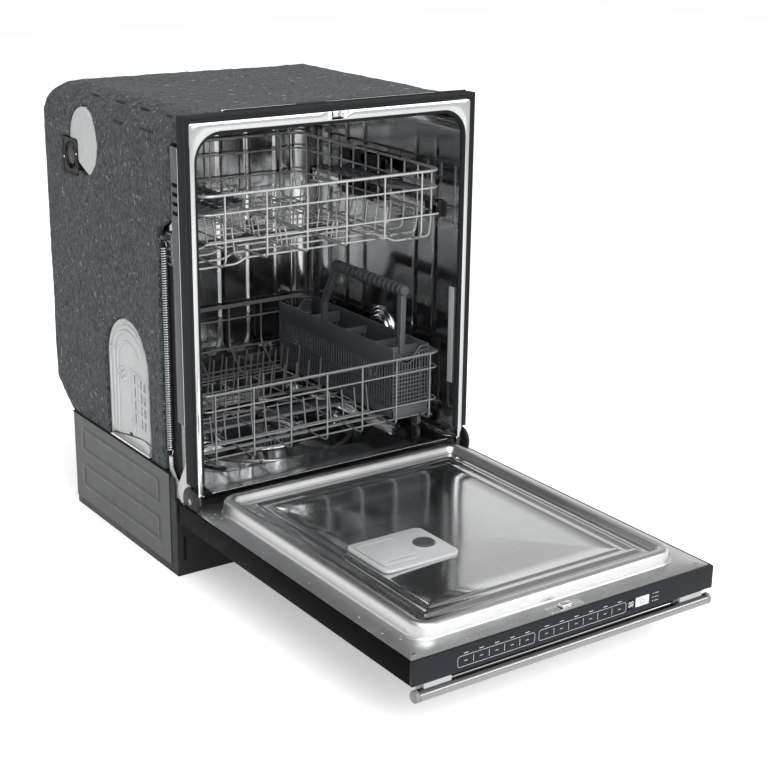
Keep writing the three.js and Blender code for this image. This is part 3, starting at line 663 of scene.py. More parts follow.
# ---------------------------------------------------------------- tub
TUB_HALF, TUB_TOP, TUB_FLOOR, TUB_REAR, TUB_CORNER = 280.0, 812.0, 175.0, 553.5, 50.0
FLOOR_BREAK, REAR_RISE = 500.0, 58.0  # where the floor starts to climb, and how far
REAR_ROUND = 40.0
BASIN = (226.5, 79.5, 478.5, 150.0)  # half width, front, rear, level
RIB_DEPTH, RIB_HALF = 2.6, 7.0
BACK_RIBS = [-204, -136, -68, 0, 68, 136, 204]
WALL_RIBS = [88, 152, 330, 394, 458]
ARM_AT = (0.0, 290.0)
FLANGE_HALF, FLANGE_TOP, FLANGE_FOOT = 289.0, 829.0, 173.5
SLOT_HALF, SLOT_FOOT, SLOT_TOP = 11.5, 813.0, 828.0  # the latch's slot in the flange
BAND_LEVEL, BAND_HALF, BAND_DEPTH = 420.0, 9.0, 1.2  # the long shallow band of the side walls
SUMP_HOLE = 78.0
SHEET = 0.9
SEAL_FOOT, TRIM_HALF, TRIM_TOP = 196.0, 294.6, 834.6


def ease(t):
    """A soft step from 0 to 1."""
    t = max(0.0, min(1.0, t))
    return t * t * (3 - 2 * t)


def rib(distance, half=RIB_HALF):
    """Height of a pressed rib across its width, from 0 to 1."""
    return ease((half - abs(distance)) / (half * 0.75))


def floor_rise(y):
    """How far the rear slope has lifted the floor at y."""
    return max(0.0, y - FLOOR_BREAK) * REAR_RISE / (TUB_REAR - FLOOR_BREAK)


def rear_inset(y):
    """How far the rounded rear corner has drawn the walls in at y."""
    deep = max(0.0, y - (TUB_REAR - REAR_ROUND))
    return REAR_ROUND - math.sqrt(max(0.0, REAR_ROUND ** 2 - deep ** 2))


def tub_arch(half, top, corner, foot, foot_corner=20.0, steps=64):
    """Outline of the mouth as an open path: up the right side, over and down the left."""
    quarter = math.pi / 2
    path = arc(half - foot_corner, foot + foot_corner, foot_corner, -quarter, 0, 6)[:-1]
    path += [(half, z) for z in between(foot + foot_corner, top - corner, steps)]
    path += arc(half - corner, top - corner, corner, 0, quarter, 10)[1:-1]
    path += [(x, top) for x in between(half - corner, SLOT_HALF, 13)] + [(0, top)]
    return path + [(-x, z) for x, z in reversed(path[:-1])]


def in_latch_slot(point):
    """True for a point of the flange inside the latch's slot."""
    x, y, z = point
    return abs(x) < SLOT_HALF + 0.1 and y < 1.2 and SLOT_FOOT < z < SLOT_TOP


def without(shape, inside):
    """The shape without the faces whose points are all inside."""
    shape.faces = [face for face in shape.faces if not all(inside(shape.points[i]) for i in face)]
    return shape


def tub_walls():
    """The flange round the mouth, its rolled edge, and the ribbed walls behind it."""
    outer = tub_arch(FLANGE_HALF, FLANGE_TOP, 5.0, FLANGE_FOOT, 2.0)
    mouth = tub_arch(TUB_HALF, TUB_TOP, TUB_CORNER, TUB_FLOOR, 3.0)
    lines = []
    for path, inset, y in ((outer, 0, 3.2), (outer, 0.5, 1.4), (outer, 1.6, 1.0),
                           (mouth, -1.6, 1.0), (mouth, -0.4, 1.5)):
        lines.append(lifted("y", inset_open(path, inset), y))
    step = 3.5 if FINE else 8
    turn = between(0, math.pi / 2, 14 if FINE else 8)
    bend = [TUB_REAR - REAR_ROUND + REAR_ROUND * math.sin(a) for a in turn]
    for y in between(3.0, TUB_REAR - REAR_ROUND, int(510 / step))[:-1] + bend:
        inset = rear_inset(y)
        foot = TUB_FLOOR + floor_rise(y)
        arch = tub_arch(TUB_HALF - inset, TUB_TOP - inset, max(12, TUB_CORNER - inset * 0.5), foot,
                        3.0 + 17.0 * ease((y - 3) / 30))
        press = max(rib(y - at_y) for at_y in WALL_RIBS)
        band_fade = ease((y - 40) / 20) * ease((500 - y) / 20)
        line = []
        for x, z in arch:
            fade = ease((z - foot - 24) / 26) * ease((TUB_TOP - 70 - z) / 24)
            band = BAND_DEPTH * rib(z - BAND_LEVEL, BAND_HALF) * band_fade
            push = (RIB_DEPTH * press * fade + (band if press < 0.01 else 0)) * (abs(x) > 200)
            line.append((x - math.copysign(push, x), y, z))
        lines.append(line)
    return without(Shape().grid(lines), in_latch_slot)


def inset_open(path, distance):
    """An open path moved inwards."""
    return [(u - nu * distance, v - nv * distance)
            for (u, v), (nu, nv) in zip(path, mitres(path, False))]


def tub_back():
    """The rear wall: ribs that flare at their feet above the sloping shelf."""
    half = TUB_HALF - REAR_ROUND
    low, high = TUB_FLOOR + REAR_RISE, TUB_TOP - REAR_ROUND
    step = 3.0 if FINE else 7
    lines = []
    for z in between(low, high, int((high - low) / step)):
        flare = RIB_HALF + 16 * ease((low + 46 - z) / 46)
        line = []
        for x in between(-half, half, int(2 * half / step)):
            press = max(rib(x - at_x, flare) for at_x in BACK_RIBS)
            fade = ease((z - low - 3) / 14) * ease((high - 12 - z) / 30)
            line.append((x, TUB_REAR - RIB_DEPTH * press * fade, z))
        lines.append(line)
    return Shape().grid(lines)


def floor_level(x, y):
    """The pressed floor: a basin with a soft edge, spokes round the sump and a rear slope."""
    level = TUB_FLOOR + floor_rise(y)
    half, front, rear, low = BASIN
    edge = max(abs(x) - half, front - y, y - rear)
    corner = math.hypot(max(0, abs(x) - half + 60), max(0, y - rear + 60, front + 60 - y)) - 60
    depth = ease(-max(edge, corner) / 16)
    reach = math.hypot(x - ARM_AT[0], y - ARM_AT[1])
    turn = math.atan2(y - ARM_AT[1], x - ARM_AT[0])
    spoke = 3.5 * ease((math.cos(turn * 6) - 0.72) / 0.2) * ease((reach - 96) / 16)
    spoke *= ease((200 - reach) / 20)
    bowl = 5.0 * ease((104 - reach) / 20)
    return level - (TUB_FLOOR - low) * depth + (spoke - bowl * 0.6) * depth


def tub_floor():
    """The floor as a fine grid, with the hole for the sump."""
    half = TUB_HALF - 20
    step = 4.5 if FINE else 10
    across = between(-half, half, int(2 * half / step))
    lines = [[(x, y, floor_level(x, y)) for x in across]
             for y in between(3.0, TUB_REAR, int(550 / step))]
    return without(Shape().grid(lines), lambda p: math.hypot(p[0], p[1] - ARM_AT[1]) < SUMP_HOLE)


def make_tub():
    for name, shape, thick in (("tub_walls", tub_walls(), SHEET), ("tub_back", tub_back(), -SHEET),
                               ("tub_floor", tub_floor(), -SHEET)):
        piece(name, shape, MIRROR, "cabinet", "tub", 50, thick=thick)
    collar = [(73.2, 145.6), (73.2, 150.2), (75, 151.4), (84, 151.4), (86, 149.6), (86, 146)]
    piece("sump_collar", Shape().lathe("z", ARM_AT, collar, 48), BRIGHT, "cabinet",
          "tub")
    make_strike()
    seal = [(-0.3, 2.2), (-0.3, 11.8), (-3.0, 12.0), (-5.2, 10.6), (-6.4, 8.4), (-6.2, 5.6),
            (-4.8, 3.8), (-3.0, 4.4), (-1.8, 2.6)]
    path = tub_arch(TUB_HALF, TUB_TOP, TUB_CORNER, SEAL_FOOT, 0.1, 6)[5:-5]
    piece("gasket", Shape().sweep("y", path, seal), RUBBER, "cabinet", "door_seal", 60)
    frame_path = [(TRIM_HALF, SEAL_FOOT), (TRIM_HALF, TRIM_TOP), (-TRIM_HALF, TRIM_TOP),
                  (-TRIM_HALF, SEAL_FOOT)]
    trim = [(-5.2, 1.7), (-4.6, 0.9), (-3.0, 0.5), (-1.6, 1.3), (0.6, 1.3), (2.0, 0.4),
            (4.2, 0.5), (5.3, 1.8), (5.4, 24), (3.9, 24), (3.9, 3.2), (-5.2, 3.0)]
    piece("frame_trim", Shape().sweep("y", frame_path, trim), RUBBER, "cabinet",
          ("trim_left", "trim_right", "trim_top"), 50)


def make_strike():
    """The folded strike in the flange's slot, with its wire loop and a black box of painted shade in
    its mouth.
    """
    low, high = 815, 827.4
    strike = Shape().box(-14, 14, 8.6, 10.9, low, high, 0.5)
    for sign in (-1, 1):
        x0, x1 = mirrored(sign, 12.4, 20)
        strike.box(x0, x1, 0.75, 2.0, low - 0.2, high + 0.2, 0.25, 2)
        x0, x1 = mirrored(sign, 12.4, 14.6)
        strike.box(x0, x1, 1.4, 10.8, low, high, 0.4)
    loop = [(-11.2, 1.8), (-11.2, 7.8), (11.2, 7.8), (11.2, 1.8)]
    strike.tube(lifted("z", loop, 818), 0.6, 10)
    piece("strike_loop", strike, BRIGHT, "cabinet", "tub")
    # A black box of painted shade in the strike's mouth.
    mouth = Shape().box(-11.9, -4, 8.2, 8.55, low, high, 0.1)
    piece("strike_mouth_shade", mouth, HOLE_SHADE_AND_DISPLAY_BLACK, "cabinet")


def make_wall_vent():
    """The round vent in the left wall: turned rings, a black disc of painted shade in its well and a
    six-spoked grille.
    """
    cap = Span("wall_vent_cap")
    centre = (cap.y, cap.z)
    base, face = cap.x1, cap.x0
    profile = [(45, base), (45, base - 3), (42.5, base - 5), (39.5, base - 3.4), (38, base - 2.6),
               (36.6, base - 4.8), (34, base - 6.6), (31.4, base - 5.4), (30.2, base - 4.6),
               (29, base - 7.6), (26.6, face), (23.4, face), (21.6, face + 1.8), (21.2, face + 5)]
    piece("vent_rings", Shape().lathe("x", centre, profile, 64), BRIGHT, "cabinet",
          "wall_vent_cap", 60)
    # A black disc of painted shade at the bottom of the vent's well.
    well = Shape().lathe("x", centre, [(21.4, face + 4.2), (0.1, face + 4.2)], 40)
    piece("vent_well_shade", well, HOLE_SHADE_AND_DISPLAY_BLACK, "cabinet", "wall_vent_cap")
    grille = Shape()
    inner, outer, depth = 8.0, 20.8, face + 2.6
    for radius in (outer, inner):
        grille.tube(lifted("x", circle(*centre, radius, 40), depth), 1.15, 8, closed=True)
    for i in range(6):
        grille.tube(spoke(centre, (inner, outer), math.radians(60 * i + 30), depth), 1.1, 8)
    piece("vent_grille", grille, BRIGHT, "cabinet", "wall_vent_cap")
    strip = Shape().box(277.9, 279.6, 22, 38, 280, 470, 0.7, 6)
    piece("wall_strip", strip, LIGHT, "cabinet")


# ---------------------------------------------------------------- insulation
FELT_CORNER, FELT_CORNER_Z = 60.0, 782.0  # the blanket's rounded top edges: radius and centre
SLIT_LOW = 800.0  # level of the lower row of cuts
HALF_WIDTH = Span("insulation_blanket").x1


def make_blanket():
    """The felt: the CAD's blanket remeshed finely, then made uneven and softly quilted on top."""
    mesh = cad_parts["insulation_blanket"].data.copy()
    mesh.name = "felt_blanket"
    mesh.materials.clear()
    drop_normals(mesh)
    obj = linked("felt_blanket", mesh)
    welded(obj)
    remesh = obj.modifiers.new("remesh", "REMESH")
    remesh.mode, remesh.voxel_size = "VOXEL", (4.4 if FINE else 8) * MM
    smooth = obj.modifiers.new("smooth", "SMOOTH")
    smooth.factor, smooth.iterations = 0.5, 5
    made = bpy.data.meshes.new_from_object(obj.evaluated_get(bpy.context.evaluated_depsgraph_get()))
    obj.modifiers.clear()
    obj.data = made
    made.name = "felt_blanket"
    for vertex, normal in zip(made.vertices, [v.normal.copy() for v in made.vertices]):
        p = vertex.co / MM
        lump = noise.noise(p * 0.011) * 1.3 + noise.noise(p * 0.045) * 0.7
        lump += noise.noise(p * 0.16) * 0.35
        top = ease((p.z - 800) / 30)
        quilt = math.cos(p.x * math.pi / 22) * math.cos(p.y * math.pi / 22) * 0.7 * top
        vertex.co += normal * (lump + quilt - 0.9) * MM
    made.shade_smooth()
    settle(obj, FELT, "cabinet", "insulation_blanket")
    fibres(obj)
    slits()
    edging(Span("insulation_blanket"))


def fibres(blanket):
    """Loose fibres standing off the felt, pale and dark."""
    rng = random.Random(11)
    polygons = blanket.data.polygons
    pale = plastic("pale_fibre", (0.4, 0.41, 0.39), 0.8, 900, 0.01, 0.4)
    dark = plastic("dark_fibre", (0.016, 0.019, 0.021), 0.9, 900, 0.01, 0.3)
    for kind, material, count in (("pale", pale, 700), ("dark", dark, 500)):
        shape = Shape()
        for _ in range(count):
            face = polygons[rng.randrange(len(polygons))]
            across = face.normal.orthogonal().normalized()
            other = face.normal.cross(across)
            turn = rng.uniform(0, 2 * math.pi)
            along = across * math.cos(turn) + other * math.sin(turn)
            length = rng.uniform(3.5, 11.0) * MM
            curl = rng.uniform(-0.5, 0.5) * length
            middle = face.center + face.normal * 0.0003
            side = face.normal.cross(along)
            points = [middle + along * length * (t - 0.5) + side * curl * (t * t - t)
                      + face.normal * 0.0006 * math.sin(math.pi * t) for t in (0, 0.33, 0.66, 1)]
            shape.tube([(p.x / MM, p.y / MM - Y_SHIFT, p.z / MM) for p in points], 0.24, 3)
        piece("felt_fibres_" + kind, shape, material, "cabinet")


def edging(span):
    """A ragged black band of painted shade at the blanket's front top edge, and the tub's bright lip,
    behind the top trim.
    """
    left, right = -212, 294
    lines = []
    for x in between(left, right, 180):
        ragged = noise.noise(Vector((x * 0.05, 0, 0))) * 5 + noise.noise(Vector((x * 0.3, 9, 0))) * 2
        swell = 15 * math.sin(math.pi * (x - left) / (right - left)) ** 0.7
        back = span.y0 + max(1.5, swell + ragged)
        top = span.z1 + 0.35
        lines.append([(x, span.y0 - 2, top - 4), (x, span.y0 - 2, top), (x, back - 1, top),
                      (x, back, top - 0.8), (x, back, top - 4)])
    shade_band = Shape().grid(lines, closed=True).fan(lines[0]).fan(lines[-1])
    # The band is painted shade where the blanket's front end lies in shadow.
    piece("blanket_edge_shade", shade_band, FELT_SHADE, "cabinet")
    lip = Shape()
    for x0, x1 in ((-215, -70), (-8, 225)):
        lip.box(x0, x1, span.y0 - 1.0, span.y0 + 1.6, span.z1 - 3, span.z1 + 0.6, 0.3)
    piece("tub_top_lip", lip, BRIGHT, "cabinet")


def slits():
    """Long cuts in the felt along its top edge, in two rows: (middle, half length) of each."""
    shape = Shape()
    turn = math.asin((SLIT_LOW - FELT_CORNER_Z) / FELT_CORNER)
    rows = ((math.radians(52), ((379, 17), (279, 20), (183, 18), (92, 12))),
            (turn, ((248, 21), (139, 26))))
    for angle, row_slits in rows:
        z = FELT_CORNER_Z + FELT_CORNER * math.sin(angle)
        x = FELT_CORNER - HALF_WIDTH - FELT_CORNER * math.cos(angle) - 0.4
        for y, half in row_slits:
            outline = [(u, v + 0.05 * (u - y)) for u, v in
                       arc(y, z, half, 0, 2 * math.pi, 17, tall=1.1)[:-1]]
            shape.prism("x", outline, x - 0.6, x + 3, 0.2)
    # Each cut is a black felt insert: a real cut with painted shade inside it.
    piece("felt_slit_shade", shape, FELT_SHADE, "cabinet")


# ---------------------------------------------------------------- springs, duct, fan and chamber
COIL_RADIUS, COIL_GAUGE, COIL_PITCH, COIL_HOOK = 5.1, 1.4, 3.1, 11.0  # pitch in wire radii


def make_coil(side):
    """A door spring: a hook, a close coil and a hook, at the length of the CAD node."""
    span = Span("door_spring_" + side)
    x, y = span.x, span.y
    low, high = span.z0 + COIL_HOOK, span.z1 - COIL_HOOK
    turns = int((high - low) / (COIL_GAUGE * COIL_PITCH))
    per_turn = 12 if FINE else 8
    path = [(x, y, span.z0 + 1), (x + 3, y, span.z0 + 2), (x + 3.6, y, span.z0 + 6)]
    for i in range(turns * per_turn + 1):
        angle = 2 * math.pi * i / per_turn
        path.append((x + COIL_RADIUS * math.cos(angle), y + COIL_RADIUS * math.sin(angle),
                     low + (high - low) * i / (turns * per_turn)))
    path += [(x + 3.6, y, span.z1 - 6), (x + 3, y, span.z1 - 2), (x, y, span.z1 - 1)]
    coil = piece("spring_coil_" + side, Shape().tube(path, COIL_GAUGE, 6), SPRING_STEEL, "cabinet",
                 "door_spring_" + side, 80)
    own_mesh(coil)


def make_strap(side):
    """The layered strap from a spring's foot to the hinge."""
    y, link = Span("door_spring_" + side).y, Span("spring_link_" + side)
    top, foot = link.z1, link.z0
    strap = Shape()
    for layer, lean in ((-1.3, -7.0), (0.0, 0.0), (1.3, 7.0)):
        outline = [(y - 4.2, top), (y - 4.2, 202), (y - 16, 187), (link.y0 + 12 + lean, 177),
                   (link.y0 + 2 + lean, foot), (link.y0 + 24 + lean, foot + 1),
                   (link.y1 - 12, 181), (y + 3.6, 194), (y + 4.2, top)]
        strap.prism("x", outline, link.x + layer - 0.4, link.x + layer + 0.4, 0.2)
    strap.box(link.x - 2.4, link.x + 2.4, y - 4.8, y + 4.8, top - 13, top - 1, 0.8, 2)
    piece("strap_" + side, strap, STRAP, "spring_link_" + side,
          "spring_link_" + side)


def make_shroud(side, sign):
    """The folded fabric over a hinge, with its creases."""
    shroud = Shape()
    for layer, lean in ((292.9, 0.0), (292.2, 5.0)):
        fold = [(24, 238), (33, 243), (41, 222 - lean), (62, 188), (88, 160), (85, 147),
                (66 - lean, 152), (46 + lean, 139), (31, 141), (22, 160), (21.5, 200)]
        shroud.prism("x", fold[::-1], *mirrored(sign, layer, layer + 0.5), 0.2)
    for foot, top in ((76, 210), (58, 222), (38, 232)):
        shroud.tube([(sign * 293.3, foot, 152), (sign * 293.3, foot * 0.62 + 10, 190),
                     (sign * 293.2, 29 + foot * 0.05, top)], 0.7, 6)
    piece("hinge_shroud_" + side, shroud, STRAP, "cabinet")


def make_springs():
    """The springs, straps, shrouds and columns of both sides."""
    for side, sign in SIDES:
        make_coil(side)
        make_strap(side)
        make_shroud(side, sign)
        make_column(side, sign)


def make_column(side, sign):
    """The steel channel beside the door, a bright strip as its edge's painted highlight, the spring's
    slotted bracket and black sheets of painted shade behind them.
    """
    dress("hinge_frame_" + side, CHANNEL, 0.6)

    def plates(name, sizes, material, edge=0.4, screws=()):
        shape = Shape()
        for near, far, *rest in sizes:
            shape.box(*mirrored(sign, near, far), *rest, edge)
        for z in screws:
            screw_head(shape, "x", (48, z), sign * 284.8, sign, 4.0)
        piece(name + side, shape, material, "cabinet")

    # A bright steel strip standing for the channel edge's painted highlight.
    plates("column_edge_highlight_", [(297.1, 297.9, 26.5, 29.5, 300, 785)], BRIGHT, 0.2)
    spring = Span("door_spring_" + side)
    y0, y1, low, high = 57.0, spring.y + 6, 574.0, spring.z1 + 15
    uprights = [(283.9, 286.2, y, y + 4, low, high) for y in (y0, (y0 + y1) / 2 - 2, y1 - 4)]
    rungs = [(283.9, 286.2, y0, y1, z, z + 4) for z in between(low, high - 4, 5)]
    feet = [(283.9, 284.9, 28, 66, 200, 318), (283.9, 286.0, 28, 31, 200, 296)]
    plates("spring_bracket_", uprights + rungs + feet, ZINC, screws=(214, 276))
    # Black felt sheets behind the bracket: painted shade in the gap beside the column.
    pads = [(281.95, 282.8, 57, 107, 183, 632), (281.95, 282.8, 29, 57, 320, 784)]
    plates("column_shade_", pads, FELT_SHADE)


def make_dome(duct, box):
    """The duct's white shell: a domed outline with raised curves."""
    outer, inner = duct.x0, duct.x1
    side_y, shelf = box.y0 - 0.4, box.z1 + 0.4
    arch = arc(duct.y, duct.z1 - 61, 58, 0.1, math.pi - 0.1, 16, tall=61)
    corners = [(side_y, duct.z0 + 20), (side_y, shelf), (duct.y1, shelf), *arch,
               (duct.y0 + 1, duct.z - 12), (duct.y0 + 14, duct.z0 + 20), (duct.y0 + 32, duct.z0 + 1),
               (duct.y0 + 42, duct.z0 + 1)]
    outline = [(p.x, p.y) for p in ring_bent([(u, v, 0) for u, v in corners], 7, 4)]
    dome = Shape().prism("x", outline, outer, inner, 3.2)
    rear = arc(duct.y, duct.z, 47, 2.2, 3.7, 22, tall=50)
    front = arc(duct.y - 18, duct.z + 10, 26, -0.9, 2.4, 26, tall=36)
    dome.tube(lifted("x", rear, outer + 1.1), 2.6, 10)
    dome.tube(lifted("x", front, outer + 1.2), 2.2, 10)
    hook = [(duct.y1 - 5, shelf + 3), (duct.y + 14, shelf + 3), (duct.y + 14, shelf + 22)]
    dome.tube(bent(lifted("x", hook, outer + 1), 3), 1.7, 10)
    piece("duct_shell", dome, WHITE, "cabinet", "vent_duct", 50)


def make_fan_frame(box):
    """The fan's square frame: a round bore, a raised rim, three struts and a motor hub."""
    half, count = (box.y1 - box.y0) / 2, 64
    angles = [2 * math.pi * (i + 0.5) / count for i in range(count)]
    ring = [(box.y + 25.0 * math.cos(a), box.z + 25.0 * math.sin(a)) for a in angles]
    square = [square_point(box.y, box.z, half, a) for a in angles]
    lines = []
    for x, loop, share in (
            (box.x1, ring, 1), (box.x0 + 0.6, ring, 1), (box.x0, ring, 1.02), (box.x0, ring, 1.10),
            (box.x0 + 1.2, ring, 1.13), (box.x0 + 1.2, square, 0.93), (box.x0, square, 0.955),
            (box.x0 + 0.2, square, 0.99), (box.x0 + 1.2, square, 1), (box.x1, square, 1)):
        lines.append(lifted("x", scaled(loop, box, share), x))
    shape = Shape().grid(lines, closed=True)
    centre = (box.y, box.z)
    for i in range(3):
        shape.tube(spoke(centre, (5, 25.5), math.radians(40 + 120 * i), box.x1 - 2), 1.6, 6)
    hub = [(8.6, box.x1), (8.6, box.x1 - 3.4), (3, box.x1 - 4), (0.05, box.x1 - 4)]
    shape.lathe("x", centre, hub, 24)
    piece("fan_frame", shape, BLACK, "cabinet", "fan_housing", 40)
    screws = Shape()
    for du, dv in ((-27.5, 6.0), (27.5, -6.0)):
        screw_head(screws, "x", (box.y + du, box.z + dv), box.x0 + 0.9, -1, 2.2)
    piece("fan_screws", screws, BRIGHT, "cabinet")


def make_rotor(box):
    """The fan's hub and its seven twisted blades."""
    hub = [(16.5, box.x1 - 6.2), (16.5, box.x0 + 3.2), (15.0, box.x0 + 2.2), (0.05, box.x0 + 2)]
    rotor = Shape().lathe("x", (box.y, box.z), hub, 40)
    blades = 7
    for i in range(blades):
        lines = []
        for r in between(16.0, 23.4, 4):
            spin = 2 * math.pi * i / blades + 0.03 * (r - 11)
            width = 0.3 + 0.008 * (r - 11)
            front = [(box.x0 + 5.6 + 3.0 * t, spin + width * t) for t in between(-1, 1, 5)]
            section = front + [(x + 0.8, a) for x, a in reversed(front)]
            lines.append([(x, box.y + r * math.cos(a), box.z + r * math.sin(a)) for x, a in section])
        rotor.grid(lines, closed=True).fan(lines[0]).fan(lines[-1])
    piece("fan_blades", rotor, DARKER, "fan_rotor", "fan_rotor", 40)


def make_duct():
    """The vent duct with its fan."""
    box = Span("fan_housing")
    make_dome(Span("vent_duct"), box)
    make_fan_frame(box)
    make_rotor(box)


def square_point(u, v, half, angle):
    """A point of a rounded square seen from its middle."""
    c, s = math.cos(angle), math.sin(angle)
    power = 9.0
    reach = half / (abs(c) ** power + abs(s) ** power) ** (1 / power)
    return (u + reach * c, v + reach * s)


def scaled(loop, about, share):
    """A loop grown or shrunk about a fan housing."""
    return [(about.y + (u - about.y) * share, about.z + (v - about.z) * share) for u, v in loop]


def screw_head(shape, axis, centre, level, sign, radius, tall=None):
    """A small domed head with a recess."""
    rise = sign * (0.66 * radius if tall is None else tall)
    profile = [(radius, level), (radius, level + 0.53 * rise), (radius * 0.72, level + 0.94 * rise),
               (radius * 0.4, level + rise), (radius * 0.3, level + 0.45 * rise),
               (0.02, level + 0.45 * rise)]
    shape.lathe(axis, centre, profile, 18)


def arch_loop(y0, y1, low, top, grow=0.0, count=26):
    """A round-topped doorway, grown outwards, from its right foot to its left."""
    radius = (y1 - y0) / 2
    middle, spring_line = (y0 + y1) / 2, top - radius
    loop = [(y1 + grow, z) for z in between(low - grow, spring_line, 10)[:-1]]
    loop += arc(middle, spring_line, radius + grow, 0, math.pi, count)
    return loop + [(y0 - grow, z) for z in between(spring_line, low - grow, 10)[1:]]


RIB_SLOPE = 0.18  # how steeply the chamber's ladder of ribs leans
LADDER = (248, 232, 222, 207, 196, 181)  # its uprights
RUNGS = (347, 322, 297, 272, 247)


def chamber_ribs(shape, span, face):
    """The chamber's moulded ribs: the ladder, the three uprights behind it and two arches."""
    for y in LADDER:
        top = RUNGS[0] - (LADDER[0] - y) * RIB_SLOPE
        shape.tube([(face, y, 222), (face, y, top)], 1.9, 8)
    for n, z in enumerate(RUNGS):
        near, far = LADDER[0 if n % 2 == 0 else 1], LADDER[-1 if n % 3 else -2]
        shape.tube([(face, near, z), (face, far, z - (near - far) * RIB_SLOPE)], 2.4, 8)
    for y, lean in ((326, 0), (312, 3), (300, 5)):
        shape.tube([(face, y, 214), (face, y - lean, 372)], 2.6, 10)
    for inset, gauge in ((24, 3.2), (44, 2.6)):
        over = arc(span.y, span.z1 - 86, span.y1 - span.y - inset, 0.05, 2.7, 30, tall=86 - inset)
        shape.tube(lifted("x", over, face), gauge, 10)
    dome = [(5.2, face + 0.6), (4.8, face - 1.8), (3.4, face - 3.0), (0.02, face - 3.4)]
    for centre in [(278, 328), *arc(278, 328, 11, 0.5, 0.5 + 2 * math.pi, 7, tall=12)[:-1]]:
        shape.lathe("x", centre, dome, 6)
    rng = random.Random(5)
    for _ in range(26):  # the moulded-in ripples of its lower front
        y, z = rng.uniform(172, 200), rng.uniform(212, 330)
        turn, reach = rng.uniform(0.9, 2.2), rng.uniform(5, 10)
        shape.tube([(face + 0.5, y, z), (face + 0.3, y + reach * math.cos(turn) / 2, z + reach / 2),
                    (face + 0.5, y + reach * math.cos(turn), z + reach)], 1.5, 6)
    boss = [(11, face + 0.4), (11, face - 1.4), (8.5, face - 2.2), (0.02, face - 2.4)]
    shape.lathe("x", (186, 207), boss, 28)


def make_chamber():
    """The milky fill chamber: a grooved round-topped body, ribs, darker painted shade in its windows
    and a thin black line along its foot.
    """
    span = Span("fill_chamber")
    outer, inner = span.x0 + 3.5, span.x1
    loops = []
    for grow, x in ((0, inner), (0, outer + 2), (-1, outer + 0.6), (-3, outer), (-6, outer + 0.2),
                    (-7.5, outer + 2.2), (-11, outer + 2.2), (-12.5, outer + 0.4), (-15, outer)):
        loops.append(lifted("x", arch_loop(span.y0, span.y1, span.z0, span.z1, grow), x))
    shape = Shape().grid(loops, closed=True).fan(loops[-1]).fan(loops[0])
    face = outer + 0.2
    chamber_ribs(shape, span, face)
    piece("fill_chamber_body", shape, CLEAR, "cabinet", "fill_chamber", 45)
    # The ladder's windows: darker plastic as painted shade between the ribs.
    windows = Shape()
    for z in (250, 275, 300, 325):
        for near, far in ((231, 223), (206, 197), (195, 182)):
            low = z - (LADDER[0] - near) * RIB_SLOPE
            windows.box(face - 0.5, face + 0.5, far, near, low, low + 17, 0.3, 2)
    piece("chamber_window_shade", windows, CHAMBER_SHADE, "cabinet")
    # A thin black line along the chamber's foot, with a small block.
    run = [(face - 0.6, 330, 200), (face - 0.8, 262, 213), (face - 0.8, 200, 222),
           (face - 0.6, 168, 219)]
    dark_line = Shape().tube(bent(run, 14), 1.0, 8).box(face - 1.2, face + 0.4, 246, 256, 214, 221, 0.5)
    piece("chamber_dark_line", dark_line, BLACK, "cabinet")


# ---------------------------------------------------------------- base and side panels
EMBOSSED = ((133, 456, 50, 93), (133, 456, 125, 168))  # front, rear, foot and top of each frame


def frame_height(y, z):
    """How far the embossed frames of a side panel stand out at a point, from 0 to 1."""
    height = 0.0
    for y0, y1, z0, z1 in EMBOSSED:
        du = abs(y - (y0 + y1) / 2) - (y1 - y0) / 2
        dv = abs(z - (z0 + z1) / 2) - (z1 - z0) / 2
        edge = math.hypot(max(du + 5, 0), max(dv + 5, 0)) + min(max(du, dv) + 5, 0) - 5
        height = max(height, ease((6.0 - abs(edge)) / 5.0))
    return height


def make_side_panel(side, sign):
    """A painted base panel with two embossed frames."""
    span = Span("side_panel_" + side)
    inner, outer = (span.x0, span.x1) if sign > 0 else (span.x1, span.x0)
    skin = inner + sign * 1.1
    rise = abs(outer - skin) + 0.3
    step = 1.6 if FINE else 4
    lines = []
    for z in between(span.z0, span.z1, int((span.z1 - span.z0) / step)):
        face = [(skin + sign * frame_height(y, z) * rise, y, z)
                for y in between(span.y0, span.y1, int((span.y1 - span.y0) / (step * 1.6)))]
        lines.append([(inner, span.y0, z), *face, (inner, span.y1, z)])
    shape = Shape().grid(lines, closed=True).fan(lines[0]).fan(lines[-1])
    piece("embossed_panel_" + side, shape, PANEL, "cabinet",
          "side_panel_" + side, 60)


def make_filter():
    """The filter's ribbed cup and the float's stepped cap."""
    cup, cap = Span("filter"), Span("float")
    ribs = Shape()
    for u, v in circle(cup.x, cup.y, 26.2, 20):
        ribs.tube([(u, v, 68), (u, v, 138)], 0.7, 6)
    rim = [(26.9, 148.6), (27.6, 150.1), (26, 151.0), (22, 151.0), (21, 150.2)]
    ribs.lathe("z", (cup.x, cup.y), rim, 40)
    piece("filter_ribs", ribs, LIGHT, "filter")
    profile = [(19, cap.z0), (19.4, cap.z0 + 4), (18, cap.z0 + 6.4), (13, cap.z0 + 9),
               (12.4, cap.z1 - 2), (10, cap.z1 - 0.4), (6, cap.z1), (0.02, cap.z1)]
    piece("float_cap", Shape().lathe("z", (cap.x, cap.y), profile, 40), LIGHT, "float",
          "float", 50)


